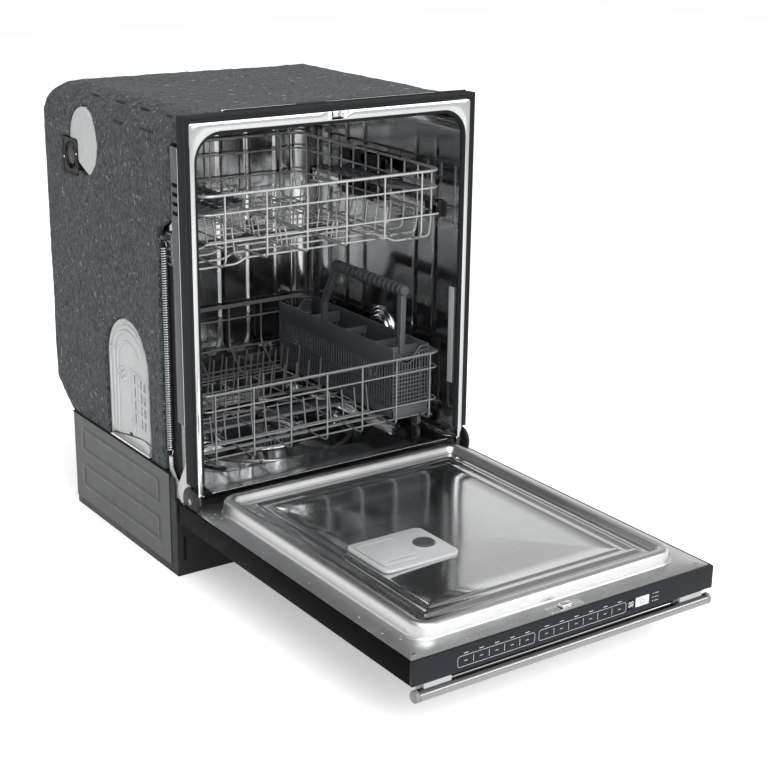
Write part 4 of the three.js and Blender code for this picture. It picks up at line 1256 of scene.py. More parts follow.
def make_heater():
    """The heater: one open loop whose two ends dip through the floor, and its three clips."""
    ring = Span("heating_element")
    radius, level = (ring.x1 - ring.x0) / 2 - 4, ring.z1 - 4.0
    loop = lifted("z", arc(0, ring.y, radius, -1.45, 4.58, 110), level)
    ends = []
    for (x, y, _), sign in ((loop[0], 1), (loop[-1], -1)):
        ends.append([(x + sign * 10, y + 10, 149), (x + sign * 6, y + 4, level - 3)])
    tube = bent([*ends[0], *loop, *ends[1][::-1]], 6, 3)
    wires("heater_tube", [(tube, False)], 3.9, DARK_METAL, "cabinet",
          "heating_element")
    clips = Shape()
    for x, y in circle(0, ring.y, radius, 3):
        clips.box(x - 4, x + 4, y - 4, y + 4, 150.2, level + 4.8, 0.8, 1)
    piece("heater_clips", clips, BRIGHT, "cabinet", "heating_element")


def make_base():
    """The base's panels, pans and seals, then the filter and the heater."""
    for side, sign in SIDES:
        make_side_panel(side, sign)
    for node, material, width in (("base_pan", BLACK, 0.8), ("sump", DARK, 0.6),
                                  ("wash_pump", DARKER, 1.2), ("filter", DARK, 0.5)):
        dress(node, material, width)
    seal, slot = Shape(), Shape()
    for sign in (-1, 1):
        seal.box(*mirrored(sign, 297.5, 303.3), 89, 498, 193.2, 194.8, 0.4)
        slot.box(*mirrored(sign, 282.8, 287.2), 65.6, 66.3, 30, 75, 0.1)
    piece("panel_seal", seal, RUBBER, "cabinet")
    # Thin black boxes of painted shade in the base's slots.
    piece("base_slot_shade", slot, HOLE_SHADE_AND_DISPLAY_BLACK, "cabinet")
    make_filter()
    make_heater()


def arm_shape(centre, reach, low, high, width=24.0):
    """A hollow-looking blade: swelling at the hub, with rounded tips and a crease along its top."""
    lines = []
    lift = (high - low - 1.6) / 2
    for t in between(-1, 1, 61):
        x = t * reach
        tip = math.sqrt(max(0.0, 1 - max(0.0, (abs(x) - (reach - 14)) / 14) ** 2))
        half = (14 + (width - 14) * (1 - abs(t)) ** 1.3) * max(tip, 0.02)
        line = []
        for a in between(0, 2 * math.pi, 25)[:-1]:
            c, s = math.cos(a), math.sin(a)
            y = half * math.copysign(abs(c) ** 0.8, c)
            z = (low + high - 1.6) / 2 + lift * math.copysign(abs(s) ** 0.75, s) * (0.35 + 0.65 * tip)
            if s > 0 and abs(c) < 0.3:
                z += 0.5
            line.append((centre[0] + x, centre[1] + y, z))
        lines.append(line)
    return Shape().grid(lines, closed=True).fan(lines[0]).fan(lines[-1])


def make_arms():
    """The two spray arms: a blade with a hub, and a jet with a black disc of painted shade in its hole
    at each of ten places.
    """
    for name, size in (("spray_arm_lower", 24), ("spray_arm_upper", 22)):
        span = Span(name)
        centre, reach, top = (span.x, span.y), (span.x1 - span.x0) / 2, span.z1 - 0.3
        shape = arm_shape(centre, reach, span.z0, span.z1, size)
        hub = [(30, span.z1 - 3.4), (27, span.z1 - 1.4), (20, span.z1 - 0.6), (14, span.z1 - 0.2),
               (9, span.z1 - 0.1), (8.6, span.z1 - 3)]
        shape.lathe("z", centre, hub, 40)
        # Black discs of painted shade in the jets' holes.
        jet_shade = Shape()
        for n, part in enumerate((-0.9, -0.74, -0.58, -0.42, -0.26, 0.26, 0.42, 0.58, 0.74, 0.9)):
            aside = (5 if n % 2 else -5) * (1 - abs(part) * 0.6)
            place = (span.x + part * reach, span.y + aside)
            jet = [(5.2, top - 2), (4.2, top - 0.7), (2.6, top), (2.0, top - 0.8)]
            shape.lathe("z", place, jet, 20)
            jet_shade.lathe("z", place, [(2.3, top - 0.55), (0.02, top - 0.55)], 16)
        piece(name + "_blade", shape, DARK, name, name, 45)
        piece(name + "_jet_hole_shade", jet_shade, HOLE_SHADE_AND_DISPLAY_BLACK, name)


# ---------------------------------------------------------------- racks
def rect_loop(half, front, rear, z, corner=26):
    """A level rectangle of wire with turned corners."""
    return (ring_bent([(-half, front, z), (half, front, z), (half, rear, z), (-half, rear, z)],
                      corner), True)


def open_run(points, radius=5):
    """A wire with two free ends."""
    return (bent(points, radius), False)


def upper_tines(front, rear, bottom):
    """Four rows of tines along the upper rack: plain outer rows, inner rows with hooped ones."""
    tines = []
    base = bottom + 11
    for x in (-160, 160, -52, 52):
        lean = 6 if x > 0 else -6
        tines.append(open_run([(x, front + 30, base), (x, rear - 30, base)]))
        for y in between(front + 52, rear - 52, 13):
            if abs(x) == 160:
                run = [(x, y, base - 1), (x + lean, y, bottom + 61)]
            elif round(y) % 2:
                run = [(x, y, base - 1), (x + lean, y, bottom + 58)]
            else:
                run = [(x, y, base - 1), (x + lean * 0.5, y, bottom + 44),
                       (x + lean, y + 9, bottom + 54), (x + lean, y + 18, bottom + 44),
                       (x, y + 18, base - 1)]
            tines.append(open_run(run, 7))
    return tines


def make_upper_rack():
    """The upper rack: rim, bands, hooped floor wires, tines and the upper arm's hub."""
    span = Span("upper_rack")
    half, front, rear = span.x1 - 2.25, span.y0 + 2.25, span.y1 - 2.25
    rim, second, low, bottom = (span.z1 - d for d in (2.3, 34.3, 84.3, 133.3))
    middle = (front + rear) / 2
    thick = [(ring_bent([(half, front, rim), (half, rear, rim), (-half, rear, rim),
                         (-half, front, rim)], 30, 8), True)]
    wires("upper_rack_rim", thick, 2.9, SILVER_WIRE, "upper_rack", "upper_rack")
    runs = [rect_loop(half - 1, front + 1, rear - 1, second, 22)]
    for s in (-1, 1):  # the lowest band's ends stand free at the front corners
        runs.append(open_run([(s * (half - 1), front + 34, low), (s * (half - 1), rear - 1, low),
                              (s * 4, rear - 1, low)], 22))
    runs.append(open_run([(-half + 6, front + 1, low), (half - 6, front + 1, low)]))
    foot = half - 5
    for y in between(front + 32, rear - 32, 11):
        right = [(150, bottom + 9), (168, bottom), (foot, bottom), (half, low - 20),
                 (half, rim + 0.5)]
        left = [(-x, z) for x, z in reversed(right)]
        runs.append(open_run(lifted("y", left + right, y), 9))
    for x in between(-207, 207, 6):
        level = bottom + (11 if abs(x) < 150 else 2)
        runs.append(open_run([(x, front, rim + 0.5), (x, front, bottom + 14),
                              (x, front + 12, level), (x, rear - 12, level),
                              (x, rear, bottom + 14), (x, rear, rim + 0.5)], 9))
    wires("upper_rack_wires", runs, 1.9, SILVER_WIRE, "upper_rack", "upper_rack")
    wires("upper_rack_tines", upper_tines(front, rear, bottom), 1.55, SILVER_WIRE, "upper_rack",
          "upper_rack")
    hub = Shape()
    for s in (-1, 1):  # rubber tips on the free ends
        hub.tube([(s * (half - 1), front + 30, low), (s * (half - 1), front + 37, low)], 2.3, 10)
    hub.lathe("z", (0, middle), [(4.6, span.z0 + 0.3), (4.6, 557), (13, 557.4), (14, 560),
                                 (14, bottom + 3), (10, bottom + 6), (0.02, bottom + 6.4)], 32)
    for y in (middle - 22, middle + 22):
        hub.box(-9, 9, y - 4, y + 4, bottom - 1, bottom + 12, 0.8, 2)
    hub.box(-5, 5, middle - 22, middle + 22, bottom + 1, bottom + 5, 0.6)
    piece("upper_arm_hub", hub, DARK, "upper_rack", "upper_rack")


SHELF_HINGE, SHELF_TILT = (241.0, 655.0), math.radians(10)  # the hinge's x and z


def make_shelf(side, sign):
    """A fold-down cup shelf: a lattice with curled stemware lugs and a toothed inner edge."""
    span = Span("cup_shelf_" + side)
    y0, y1 = span.y0, span.y1
    low, high = -3.2, 3.2
    bays = 7
    pitch = (y1 - y0 - 4) / bays
    shape = Shape()
    for u0, u1 in ((0, 5), (45, 50), (86, 91)):
        shape.box(u0, u1, y0, y1, low, high, 0.7)
    for y in between(y0 + 2, y1 - 2, bays + 1):
        shape.box(3, 88, y - 1.8, y + 1.8, low, high, 0.6)
    for i in range(bays):
        y = y0 + 2 + pitch * (i + 0.5)
        shape.box(3, 48, y - 0.9, y + 0.9, low + 0.6, high - 0.8, 0.3)
        lug = [(52, y - 11, 0.4), (66, y - 4, 1.0), (78, y + 5, 1.6), (88, y + 10, 1.6)]
        shape.tube(bent(lug, 10), 2.2, 8)
        curl = [(64 + 8.5 * math.cos(a), y + 8.5 * math.sin(a) * 0.9, 3.0 + 2.0 * a / 5)
                for a in between(-0.6, 4.4, 18)]
        shape.tube(curl, 2.3, 8)
        edge = pitch / 2
        tooth = [(88, y - edge + 1.8), (97, y - edge + 3), (99.4, y - 6), (93, y - 3.6),
                 (92, y + 3.6), (99.4, y + 6), (97, y + edge - 3), (88, y + edge - 1.8)]
        shape.prism("z", tooth, low + 0.6, high - 0.4, 0.4)
    shape.tube([(0, y0 + 2, 0), (0, y1 - 2, 0)], 4.0, 14)
    for y in (y0 + 24, y1 - 24):
        shape.box(-4.2, 6, y - 8, y + 8, low - 0.6, high + 0.6, 0.8)
    cos, sin = math.cos(SHELF_TILT), math.sin(SHELF_TILT)
    hinge_x, hinge_z = SHELF_HINGE
    shape.points = [(sign * (hinge_x - (x * cos - z * sin)), y, hinge_z + x * sin + z * cos)
                    for x, y, z in shape.points]
    piece("cup_shelf_lattice_" + side, shape, DARKER, "cup_shelf_" + side,
          "cup_shelf_" + side, 45)


def adjuster_blocks(y0, y1, z0, z1, inner, outer):
    """The adjuster's bars: near and far x, y range, z range, edge and corner radius of each."""
    tower = y0 + 77  # the upright box with its slotted window
    yield inner + 0.8, outer - 0.6, y0 + 16, y1, z1 - 26, z1 - 2, 1.0, 4
    yield inner + 0.6, outer - 0.4, y0 + 16, y1, z0, z0 + 10, 0.8, 3
    for y, wide in ((y0 + 16, 8), (y0 + 70, 9), (y0 + 133, 8), (y1 - 8, 8)):
        yield inner + 0.8, outer - 0.8, y, y + wide, z0 + 6, z1 - 22, 0.6, 1
    for a, b, low, high in ((0, 13, 8, 84), (41, 58, 8, 84), (0, 58, 66, 84), (0, 58, 8, 28)):
        yield inner, outer, tower + a, tower + b, z0 + low, z0 + high, 1.0, 3
    yield inner + 2.6, outer - 2.6, tower + 6, tower + 50, z0 + 20, z0 + 76, 0.3, 1
    for z in (z0 + 34, z0 + 46, z0 + 58):
        yield inner + 1, outer - 1, tower + 15, tower + 39, z, z + 4, 0.4, 1
    yield inner, outer, y0 + 6, tower + 20, z1 - 26, z1 - 4, 1.6, 7  # the release lever
    yield inner, outer, y0 + 6, y0 + 24, z1 - 35, z1 - 4, 1.6, 8
    yield inner + 0.2, outer, y0 + 60, y1 - 8, z0 - 6, z0 + 7, 1.4, 4
    yield inner + 0.2, outer, y0 + 53, y0 + 61, z0 - 8, z0 + 28, 1.2, 3.5


def make_adjuster(side, sign):
    """The upper rack's height adjuster: bars, a roller, a toothed rack and position marks."""
    span = Span("height_adjuster_" + side)
    inner, outer = (span.x0, span.x1) if sign > 0 else (-span.x1, -span.x0)
    y0, y1, z0, z1 = span.y0, span.y1, span.z0, span.z1
    shape = Shape()
    for near, far, v0, v1, w0, w1, edge, corner in adjuster_blocks(y0, y1, z0, z1, inner, outer):
        a, b = mirrored(sign, near, far)
        shape.prism("x", rounded(v0, v1, w0, w1, corner, 4), a, b, min(edge, (b - a) * 0.3))
    for face, back in ((sign * inner, sign), (sign * outer, -sign)):
        roller = [(radius, face + back * depth) for radius, depth in (
            (19, 3), (19, 1.2), (17.8, 0), (13, 0), (12.4, 1.4), (6, 1.4), (5.4, 0), (0.02, 0))]
        shape.lathe("x", (y1 - 22, z0 + 33), roller, 32)
    piece("adjuster_body_" + side, shape, DARKER, "upper_carriage",
          "height_adjuster_" + side, 45)
    teeth = Shape()
    for z in between(z0 + 14, z1 - 34, 6):
        teeth.box(*mirrored(sign, inner + 1.6, outer - 1.6), y0 + 24, y0 + 66, z, z + 3, 0.3)
    piece("adjuster_teeth_" + side, teeth, DARK, "upper_carriage",
          "height_adjuster_" + side)
    marks = Shape()
    for n in range(5):
        y = y0 + 99 + 9.5 * n
        marks.box(*mirrored(sign, outer - 0.4, outer + 0.25), y, y + 6, z0 - 2, z0 + 3, 0.2, 1)
    piece("adjuster_marks_" + side, marks, LIGHT, "upper_carriage")


def make_rails(side, sign):
    """The telescopic rail's plastic parts and its rows of balls."""
    fixed, middle = Span("rail_fixed_" + side), Span("rail_middle_" + side)
    dress("rail_fixed_" + side, SATIN, 0.6)
    dress("rail_middle_" + side, SATIN, 0.5)
    web = abs(middle.x)
    balls = Shape()
    x = sign * (web + 0.6)
    ball = [(0.02, x - 1.7), (1.3, x - 1.2), (1.8, x), (1.3, x + 1.2), (0.02, x + 1.7)]
    for n in range(16):
        for z in (middle.z0 + 8, middle.z1 - 8):
            balls.lathe("x", (middle.y0 + 40 + 24 * n, z), ball, 10)
    piece("rail_balls_" + side, balls, BRIGHT, "rail_middle_" + side)
    nose = Shape().box(*mirrored(sign, web - 3.2, web + 3.2), middle.y0 - 1.5, middle.y0 + 16,
                       middle.z0 - 1, middle.z1 + 1, 1.0, 2)
    piece("rail_nose_" + side, nose, BLACK, "rail_middle_" + side)
    ends = Shape()
    for y in (fixed.y0 - 2.5, fixed.y1 - 1):
        ends.box(*mirrored(sign, 269.0, 279.6), y, y + 4, fixed.z0 - 1.5, fixed.z1 + 1.5, 0.8)
    piece("rail_ends_" + side, ends, BLACK, "cabinet")


def make_carriage(side, sign):
    """One side of the upper rack's carriage."""
    make_adjuster(side, sign)
    make_rails(side, sign)


LOWER_HALF = 257.0
LOWER_ROWS = (66, 97, 103, 197, 204, 262, 322, 382, 450, 486, 514)  # its floor wires
TINE_ROWS = ((300, 70, -10), (382, 76, -10), (452, 62, -12), (120, 58, 8))  # place, height, lean


def make_lower_clips(bottom):
    """The lower rack's plastic parts: wheel brackets with their pins, holders and tine clips."""
    clips = Shape()
    pin = ((3.0, 246), (3.0, 256.6), (4.6, 256.8), (4.8, 258.2), (3.6, 258.6), (0.02, 258.6))
    for sign in (-1, 1):
        for wheel in (Span(f"rack_wheel_{n}_left") for n in (1, 2, 3, 4)):
            y, z = wheel.y, wheel.z
            bracket = [(y - 5, bottom + 3), (y + 5, bottom + 3), (y + 5, bottom - 8),
                       (y + 3.6, z - 3), (y, z - 5), (y - 3.6, z - 3), (y - 5, bottom - 8)]
            clips.prism("x", bracket[::-1], *mirrored(sign, 240.5, 246.5), 0.8)
            clips.box(*mirrored(sign, 239, 249), y - 6, y + 6, bottom - 4, bottom + 4, 1.0, 2)
            clips.lathe("x", (y, z), [(radius, sign * x) for radius, x in pin], 20)
    for x in (-210, -42):
        clips.box(x - 6, x + 6, 206, 230, bottom - 3, 218.7, 1.0, 2)
        clips.box(x - 6, x + 6, 206, 213.5, bottom - 3, 226, 1.0, 2)
    for x in (-156, -78, 0, 78):
        for y, _, _ in TINE_ROWS[:3]:
            clips.box(x - 5, x + 5, y - 8, y + 8, bottom - 3.4, bottom + 7.2, 1.0, 2)
    piece("lower_rack_clips", clips, BLACK, "lower_rack", "lower_rack", 45)


def make_lower_rack():
    """The lower rack: a double rim, bands, floor wires, fixed tines, clips and folding tines."""
    span = Span("lower_rack")
    half, front, rear = LOWER_HALF, span.y0 + 2.25, span.y1 - 2.25
    rim, second, low, bottom = (span.z1 - d for d in (2.3, 33.3, 97.3, 135.3))
    rims = [rect_loop(half, front, rear, rim - 0.5, 16),
            rect_loop(half - 3.6, front + 3.6, rear - 3.6, rim - 3.4, 13)]
    wires("lower_rack_rim", rims, 2.2, GREY_WIRE, "lower_rack", "lower_rack")
    runs = [rect_loop(half - 1, front + 1, rear - 1, level, 16) for level in (second, low)]
    for y in LOWER_ROWS:
        runs.append(open_run([(-half, y, rim), (-half, y, bottom + 7), (-half + 9, y, bottom),
                              (half - 9, y, bottom), (half, y, bottom + 7), (half, y, rim)], 6))
    for x in between(-234, 234, 7):
        runs.append(open_run([(x, front, rim), (x, front, bottom + 6), (x, front + 7, bottom + 1),
                              (x, rear - 46, bottom + 1), (x, rear - 4, bottom + 40),
                              (x, rear, bottom + 48), (x, rear, rim)], 7))
    wires("lower_rack_wires", runs, 1.9, GREY_WIRE, "lower_rack", "lower_rack")
    tines = []
    left, right = -224, 150
    for y, tall, lean in TINE_ROWS:
        tines.append(open_run([(left - 6, y, bottom + 6), (right + 6, y, bottom + 6)]))
        for x in between(left, right, 14):
            tines.append(open_run([(x, y, bottom + 5), (x, y + lean, bottom + tall)]))
    wires("lower_rack_tines", tines, 1.7, GREY_WIRE, "lower_rack", "lower_rack")
    make_lower_clips(bottom)
    fold = Span("folding_tines")
    axle_z = fold.z0 + 2
    runs = [open_run([(fold.x0 + 1, fold.y, axle_z), (fold.x1 - 1, fold.y, axle_z)])]
    for x in between(fold.x0 + 6, fold.x1 - 6, 8):
        runs.append(open_run([(x, fold.y, axle_z), (x, fold.y, fold.z1 - 1)]))
    wires("folding_tine_row", runs, 1.75, GREY_WIRE, "folding_tines", "folding_tines")


def make_wheels():
    """The lower rack's wheels: a spoked hub, a groove and a tyre with rounded rims."""
    for n in (1, 2, 3, 4):
        for side, s in SIDES:
            name = f"rack_wheel_{n}_{side}"
            span = Span(name)
            centre, radius = (span.y, span.z), (span.y1 - span.y0) / 2
            inner, outer = (span.x0, span.x1) if s > 0 else (span.x1, span.x0)
            profile = [(3.4, inner), (5.6, inner), (5.8, inner + s * 1.4), (9.4, inner + s * 1.4),
                       (9.8, inner), (radius - 0.7, inner), (radius, inner + s * 0.9),
                       (radius, inner + s * 2.2), (radius - 1.1, inner + s * 3.0),
                       (radius - 1.1, outer - s * 3.0), (radius, outer - s * 2.2),
                       (radius, outer - s * 0.9), (radius - 0.7, outer), (9.8, outer),
                       (9.4, outer - s * 2.6), (5.9, outer - s * 2.6), (5.5, outer - s * 0.2),
                       (3.4, outer - s * 0.2), (3.4, inner)]
            shape = Shape().lathe("x", centre, profile, 40)
            for i in range(6):
                ends = spoke(centre, (5.0, 10.2), math.pi * i / 3, outer - s * 1.6)
                shape.tube(ends, 1.15, 6)
            piece(f"wheel_{n}_{side}", shape, WHEEL_GREY, name, name, 45)


BASKET_TOP, BASKET_WALL, BASKET_DIP = 355.0, 2.6, 22.0
GRIP = (84.0, 330.0)  # front and rear end of the basket's handle


def basket_long_wall(shape, x, span):
    """A base band, slots, one cross bar and a plain top band."""
    y0, y1, z0, far = span.y0, span.y1, span.z0, x + BASKET_WALL
    shape.box(x, far, y0, y1, z0, z0 + 16, 0.5)
    shape.box(x - 0.3, far + 0.3, y0, y1, BASKET_TOP - 40, BASKET_TOP, 0.8)
    for y in between(y0 + 3, y1 - 3, 47):
        shape.box(x + 0.3, far - 0.3, y - 1.5, y + 1.5, z0 + 12, BASKET_TOP - 36, 0.4)
    shape.box(x + 0.2, far - 0.2, y0, y1, z0 + 56, z0 + 60, 0.4)


def basket_end_wall(shape, y, span):
    """A lattice under a dipped top edge."""
    x0, x1, z0, far = span.x0, span.x1, span.z0, y + BASKET_WALL

    def dip(x):
        return BASKET_DIP * math.sin(math.pi * min(1, max(0, (x - x0 - 4) / 60)))

    shape.box(x0, x1, y, far, z0, z0 + 20, 0.5)
    for x in between(x0 + 1.5, x1 - 1.5, 13):
        shape.box(x - 1.1, x + 1.1, y + 0.4, far - 0.4, z0 + 16, BASKET_TOP - 12 - dip(x), 0.3)
    for z in between(z0 + 30, BASKET_TOP - 46, 9):
        shape.box(x0, x1, y + 0.5, far - 0.5, z - 1.0, z + 1.0, 0.3)
    edge = [(x, y + BASKET_WALL / 2, BASKET_TOP - 3 - dip(x))
            for x in between(x0 + 1.4, x1 - 1.4, 30)]
    shape.tube(edge, 2.0, 8)
    shape.tube([(u, v, z - 8) for u, v, z in edge], 1.5, 8)


def make_basket_handle(span):
    """Two ribbed arms and a grip turned with rings."""
    middle, level = (span.x0 + span.x1) / 2, span.z1 - 12
    front, rear = GRIP
    wide = 7.5
    arms = Shape()
    for foot_y, waist_y, top_y in ((97, 96, 94), (374, 370, 322)):
        arms.box(span.x0 + 1, span.x1 - 1, foot_y - 4, foot_y + 4, BASKET_TOP - 30, BASKET_TOP - 8,
                 0.8)
        path = [(foot_y, BASKET_TOP - 24), (waist_y, BASKET_TOP + 18), (top_y, level - 4)]
        for (ya, za), (yb, zb) in zip(path, path[1:]):
            arms.prism("x", [(ya - wide, za), (ya + wide, za), (yb + wide, zb), (yb - wide, zb)],
                       middle - 6.5, middle + 6.5, 1.2)
        for x in (middle - 4.6, middle + 4.6):
            arms.tube(lifted("x", path, x), 3.0, 8)
    profile = [(0.02, front - 1.5), (8.5, front - 1), (10.5, front + 2)]
    rings = 15
    pitch = (rear - front - 8) / rings
    for i in range(rings):
        w = front + 4 + pitch * i
        profile += [(9.6, w), (9.6, w + pitch * 0.22), (11.6, w + pitch * 0.34),
                    (11.9, w + pitch * 0.6), (11.6, w + pitch * 0.86)]
    profile += [(10.5, rear - 2), (8.5, rear), (0.02, rear + 0.5)]
    arms.lathe("y", (middle, level), profile, 36)
    piece("basket_handle", arms, DARK, "lower_rack", "silverware_basket", 45)


def make_basket():
    """The silverware basket: walls, floor grid, partitions, hooks over the rim and a handle."""
    span = Span("silverware_basket")
    x0, x1, y0, y1, z0 = span.x0, span.x1, span.y0, span.y1, span.z0
    shape = Shape()
    for x in (x0, x1 - BASKET_WALL):
        basket_long_wall(shape, x, span)
    for y in (y0, y1 - BASKET_WALL):
        basket_end_wall(shape, y, span)
    for x in between(x0 + 6, x1 - 6, 10):  # floor grid
        shape.box(x - 1.2, x + 1.2, y0, y1, z0 + 1, z0 + 4, 0.4)
    for y in between(y0 + 8, y1 - 8, 42):
        shape.box(x0, x1, y - 1.2, y + 1.2, z0 + 1, z0 + 4, 0.4)
    for y in (165, 270, 375):  # partitions
        for low, high in ((z0 + 2, z0 + 16), (BASKET_TOP - 30, BASKET_TOP - 14)):
            shape.box(x0 + 1, x1 - 1, y, y + 2.2, low, high, 0.4)
        for x in between(x0 + 8, x1 - 8, 8):
            shape.box(x - 1, x + 1, y + 0.2, y + 2, z0 + 14, BASKET_TOP - 28, 0.3)
    for y in between(y0 + 52, y1 - 52, 5):  # hooks
        shape.box(x1 - 1, x1 + 2.2, y - 6, y + 6, BASKET_TOP - 16, BASKET_TOP - 4, 0.6)
    piece("basket_body", shape, DARK, "lower_rack", "silverware_basket", 40)
    make_basket_handle(span)


# ---------------------------------------------------------------- door
LINER_FLANGE, LINER_SHEET = 151.0, 0.7
LINER = (262.0, -620.0, -12.0, 34.0)  # the raised field's half width, front, rear and corner
DISH = ((34, -10.0), (40, -10.0), (43, -9.4), (45.5, -8.0), (49, -7.6), (52.5, -8.0), (55, -9.4),
        (58, -10.0), (63, -10.2), (66, -9.6), (68, -8.9), (71, -8.9), (73, -9.6), (76, -10.2),
        (100, -10.1), (140, -9.4), (190, -8.6), (240, -8.4))  # inset and level of its steps


def make_door_fittings():
    """The liner's screws, the latch with its plate and a black box of painted shade in its pocket, and
    the corner bumpers.
    """
    flange = LINER_FLANGE
    spots = []
    for sign in (-1, 1):
        spots += [(sign * 285.4, y, 2.9) for y in (-40, -72, -214, -356, -498, -560)]
        spots += [(sign * 274, y, 2.7) for y in (-30, -52, -590)]
    spots += [(x, -642, 2.8) for x in (-190, -95, 95, 190)]
    screws = Shape()
    for x, y, radius in spots:
        screw_head(screws, "z", (x, y), flange + 0.05, 1, radius, 0.55)
    piece("door_screws", screws, SPRING_STEEL, "door")
    plate = Shape().box(-34, 34, -651, -632, flange, flange + 0.5, 0.2, 4)
    for x in (-26, 26):
        screw_head(plate, "z", (x, -641.5), flange + 0.3, 1, 3.0, 0.4)
    plate.box(-9.5, 9.5, -637.9, -637.1, flange + 0.3, flange + 4.0, 0.3, 0.3)
    piece("latch_plate", plate, LIP_STEEL, "door")
    # A black box of painted shade in the latch's pocket.
    pocket = Shape().box(-12, 12, -649.6, -636.5, flange + 0.3, flange + 0.55, 0.1, 2)
    piece("latch_pocket_shade", pocket, HOLE_SHADE_AND_DISPLAY_BLACK, "door")
    dress("latch_bolt", BRIGHT, 1.2)
    button = [(4.4, flange), (4.4, flange + 0.4), (3.4, flange + 0.6), (0.02, flange + 0.62)]
    bumper = Shape()
    for x in (-284, 284):
        bumper.lathe("z", (x, -641), button, 24)
    piece("door_bumpers", bumper, SPRING_STEEL, "door")


def make_liner():
    """The pressed inner door: flange, raised rounded lip, dished field with a rib loop."""
    span = Span("door_liner")
    flange, top = LINER_FLANGE, span.z1
    steps, sides = 8, 10
    half, front, rear, corner = LINER

    def loop(inset, level):
        points = rounded(-half + inset, half - inset, front + inset, rear - inset,
                         max(4, corner - inset), steps, sides)
        return lifted("z", points, level)

    outer = rounded(span.x0 + 0.6, span.x1 - 0.6, span.y0 + 0.3, span.y1 - 0.3, 4, steps, sides)
    lines = [lifted("z", inset_loop(outer, inset), flange + level)
             for inset, level in ((0, -1.4), (-0.3, -0.3), (0.6, 0))]
    lines += [loop(inset, flange + level)
              for inset, level in ((-6, 0), (-2.4, 0.4), (-0.6, 2), (0.2, 5))]
    lines += [loop(inset, top + level) for inset, level in (
        (2.2, -5), (4.0, -1.6), (6.4, -0.3), (9.0, 0), (14.5, 0), (18.0, -0.8), (20.5, -3.2),
        (22.4, -7.4), (24.5, -9.6), (28, -10))]
    lip = Shape().grid(lines, closed=True)
    piece("door_lip", lip, LIP_STEEL, "door", "door_liner", 50, thick=-LINER_SHEET)
    lines = lines[-1:] + [loop(inset, top + level) for inset, level in DISH]
    shape = Shape().grid(lines, closed=True).fan(lines[-1])
    piece("door_field", shape, SATIN, "door", "door_liner", 50, thick=-LINER_SHEET)
    make_door_fittings()


def make_dispenser():
    """The dispenser: housing with a raised rim, rinse-aid cap, detergent cup and sliding cover."""
    span, lid = Span("dispenser"), Span("dispenser_lid")
    top = 171.0
    shape = Shape().prism("z", rounded(span.x0, span.x1, span.y0, span.y1, 14, 6), span.z0, top, 1.6)
    rim = rounded(span.x0 + 5, span.x1 - 5, span.y0 + 5, span.y1 - 5, 11, 6)
    shape.tube(lifted("z", rim, top - 0.75), 0.9, 8, closed=True)
    u, v = cap_at = (span.x1 - 32, (span.y0 + span.y1) / 2)
    shape.lathe("z", cap_at, [(23, top - 0.4), (22, top + 0.5), (20, top - 0.2)], 48)
    piece("dispenser_housing", shape, LIGHT, "door", "dispenser", 50)
    cap = [(18.6, top), (18.8, top + 1.6), (17.4, top + 2.8), (15, top + 3.0), (14.2, top + 2.2),
           (0.02, top + 2.0)]
    knob = Shape().lathe("z", cap_at, cap, 48)
    knob.box(u - 13, u + 13, v - 2.6, v + 2.6, top + 1.6, top + 3.0, 0.7, 2)
    piece("rinse_cap", knob, DARK, "door")
    cup = rounded(lid.x0 + 6, lid.x1 - 6, span.y0 + 22, span.y1 - 22, 6, 5)
    tray = Shape().prism("z", cup, top - 0.8, top + 0.15, 0.2)
    piece("detergent_cup", tray, WHITE, "door")
    cover = Shape().prism("z", rounded(lid.x0, lid.x1, lid.y0, lid.y1, 9, 6), lid.z0, lid.z1 - 0.6,
                          0.7)
    bead = rounded(lid.x0 + 5, lid.x1 - 5, lid.y0 + 16, lid.y1 - 5, 6, 6)
    cover.tube(lifted("z", bead, lid.z1 - 0.7), 0.6, 8, closed=True)
    cover.box(lid.x0 + 14, lid.x1 - 14, lid.y0 + 5, lid.y0 + 11, lid.z1 - 1.2, lid.z1, 0.5, 2.5)
    piece("dispenser_cover", cover, LIGHT, "dispenser_lid", "dispenser_lid", 50)


DIGIT_WIDE, DIGIT_TALL, DIGIT_BAR = 3.4, 9.0, 0.55
RELIEF = 0.3  # how thick the printed marks are


def digit(shape, x, z, y):
    """A figure eight of seven bars, as a display shows with all of its bars lit."""
    half, middle, bar, gap = DIGIT_WIDE / 2, DIGIT_TALL / 2, DIGIT_BAR, 0.7

    def flat(level):
        shape.box(x - half + gap, x + half - gap, y, y + RELIEF, z + level - bar, z + level + bar,
                  0.05)

    def upright(side, low, high):
        shape.box(x + side - bar, x + side + bar, y, y + RELIEF, z + low + gap, z + high - gap, 0.05)

    flat(middle)
    upright(half, 0, middle)
    upright(half, -middle, 0)
    flat(-middle)
    upright(-half, -middle, 0)
    upright(-half, 0, middle)
    flat(0)


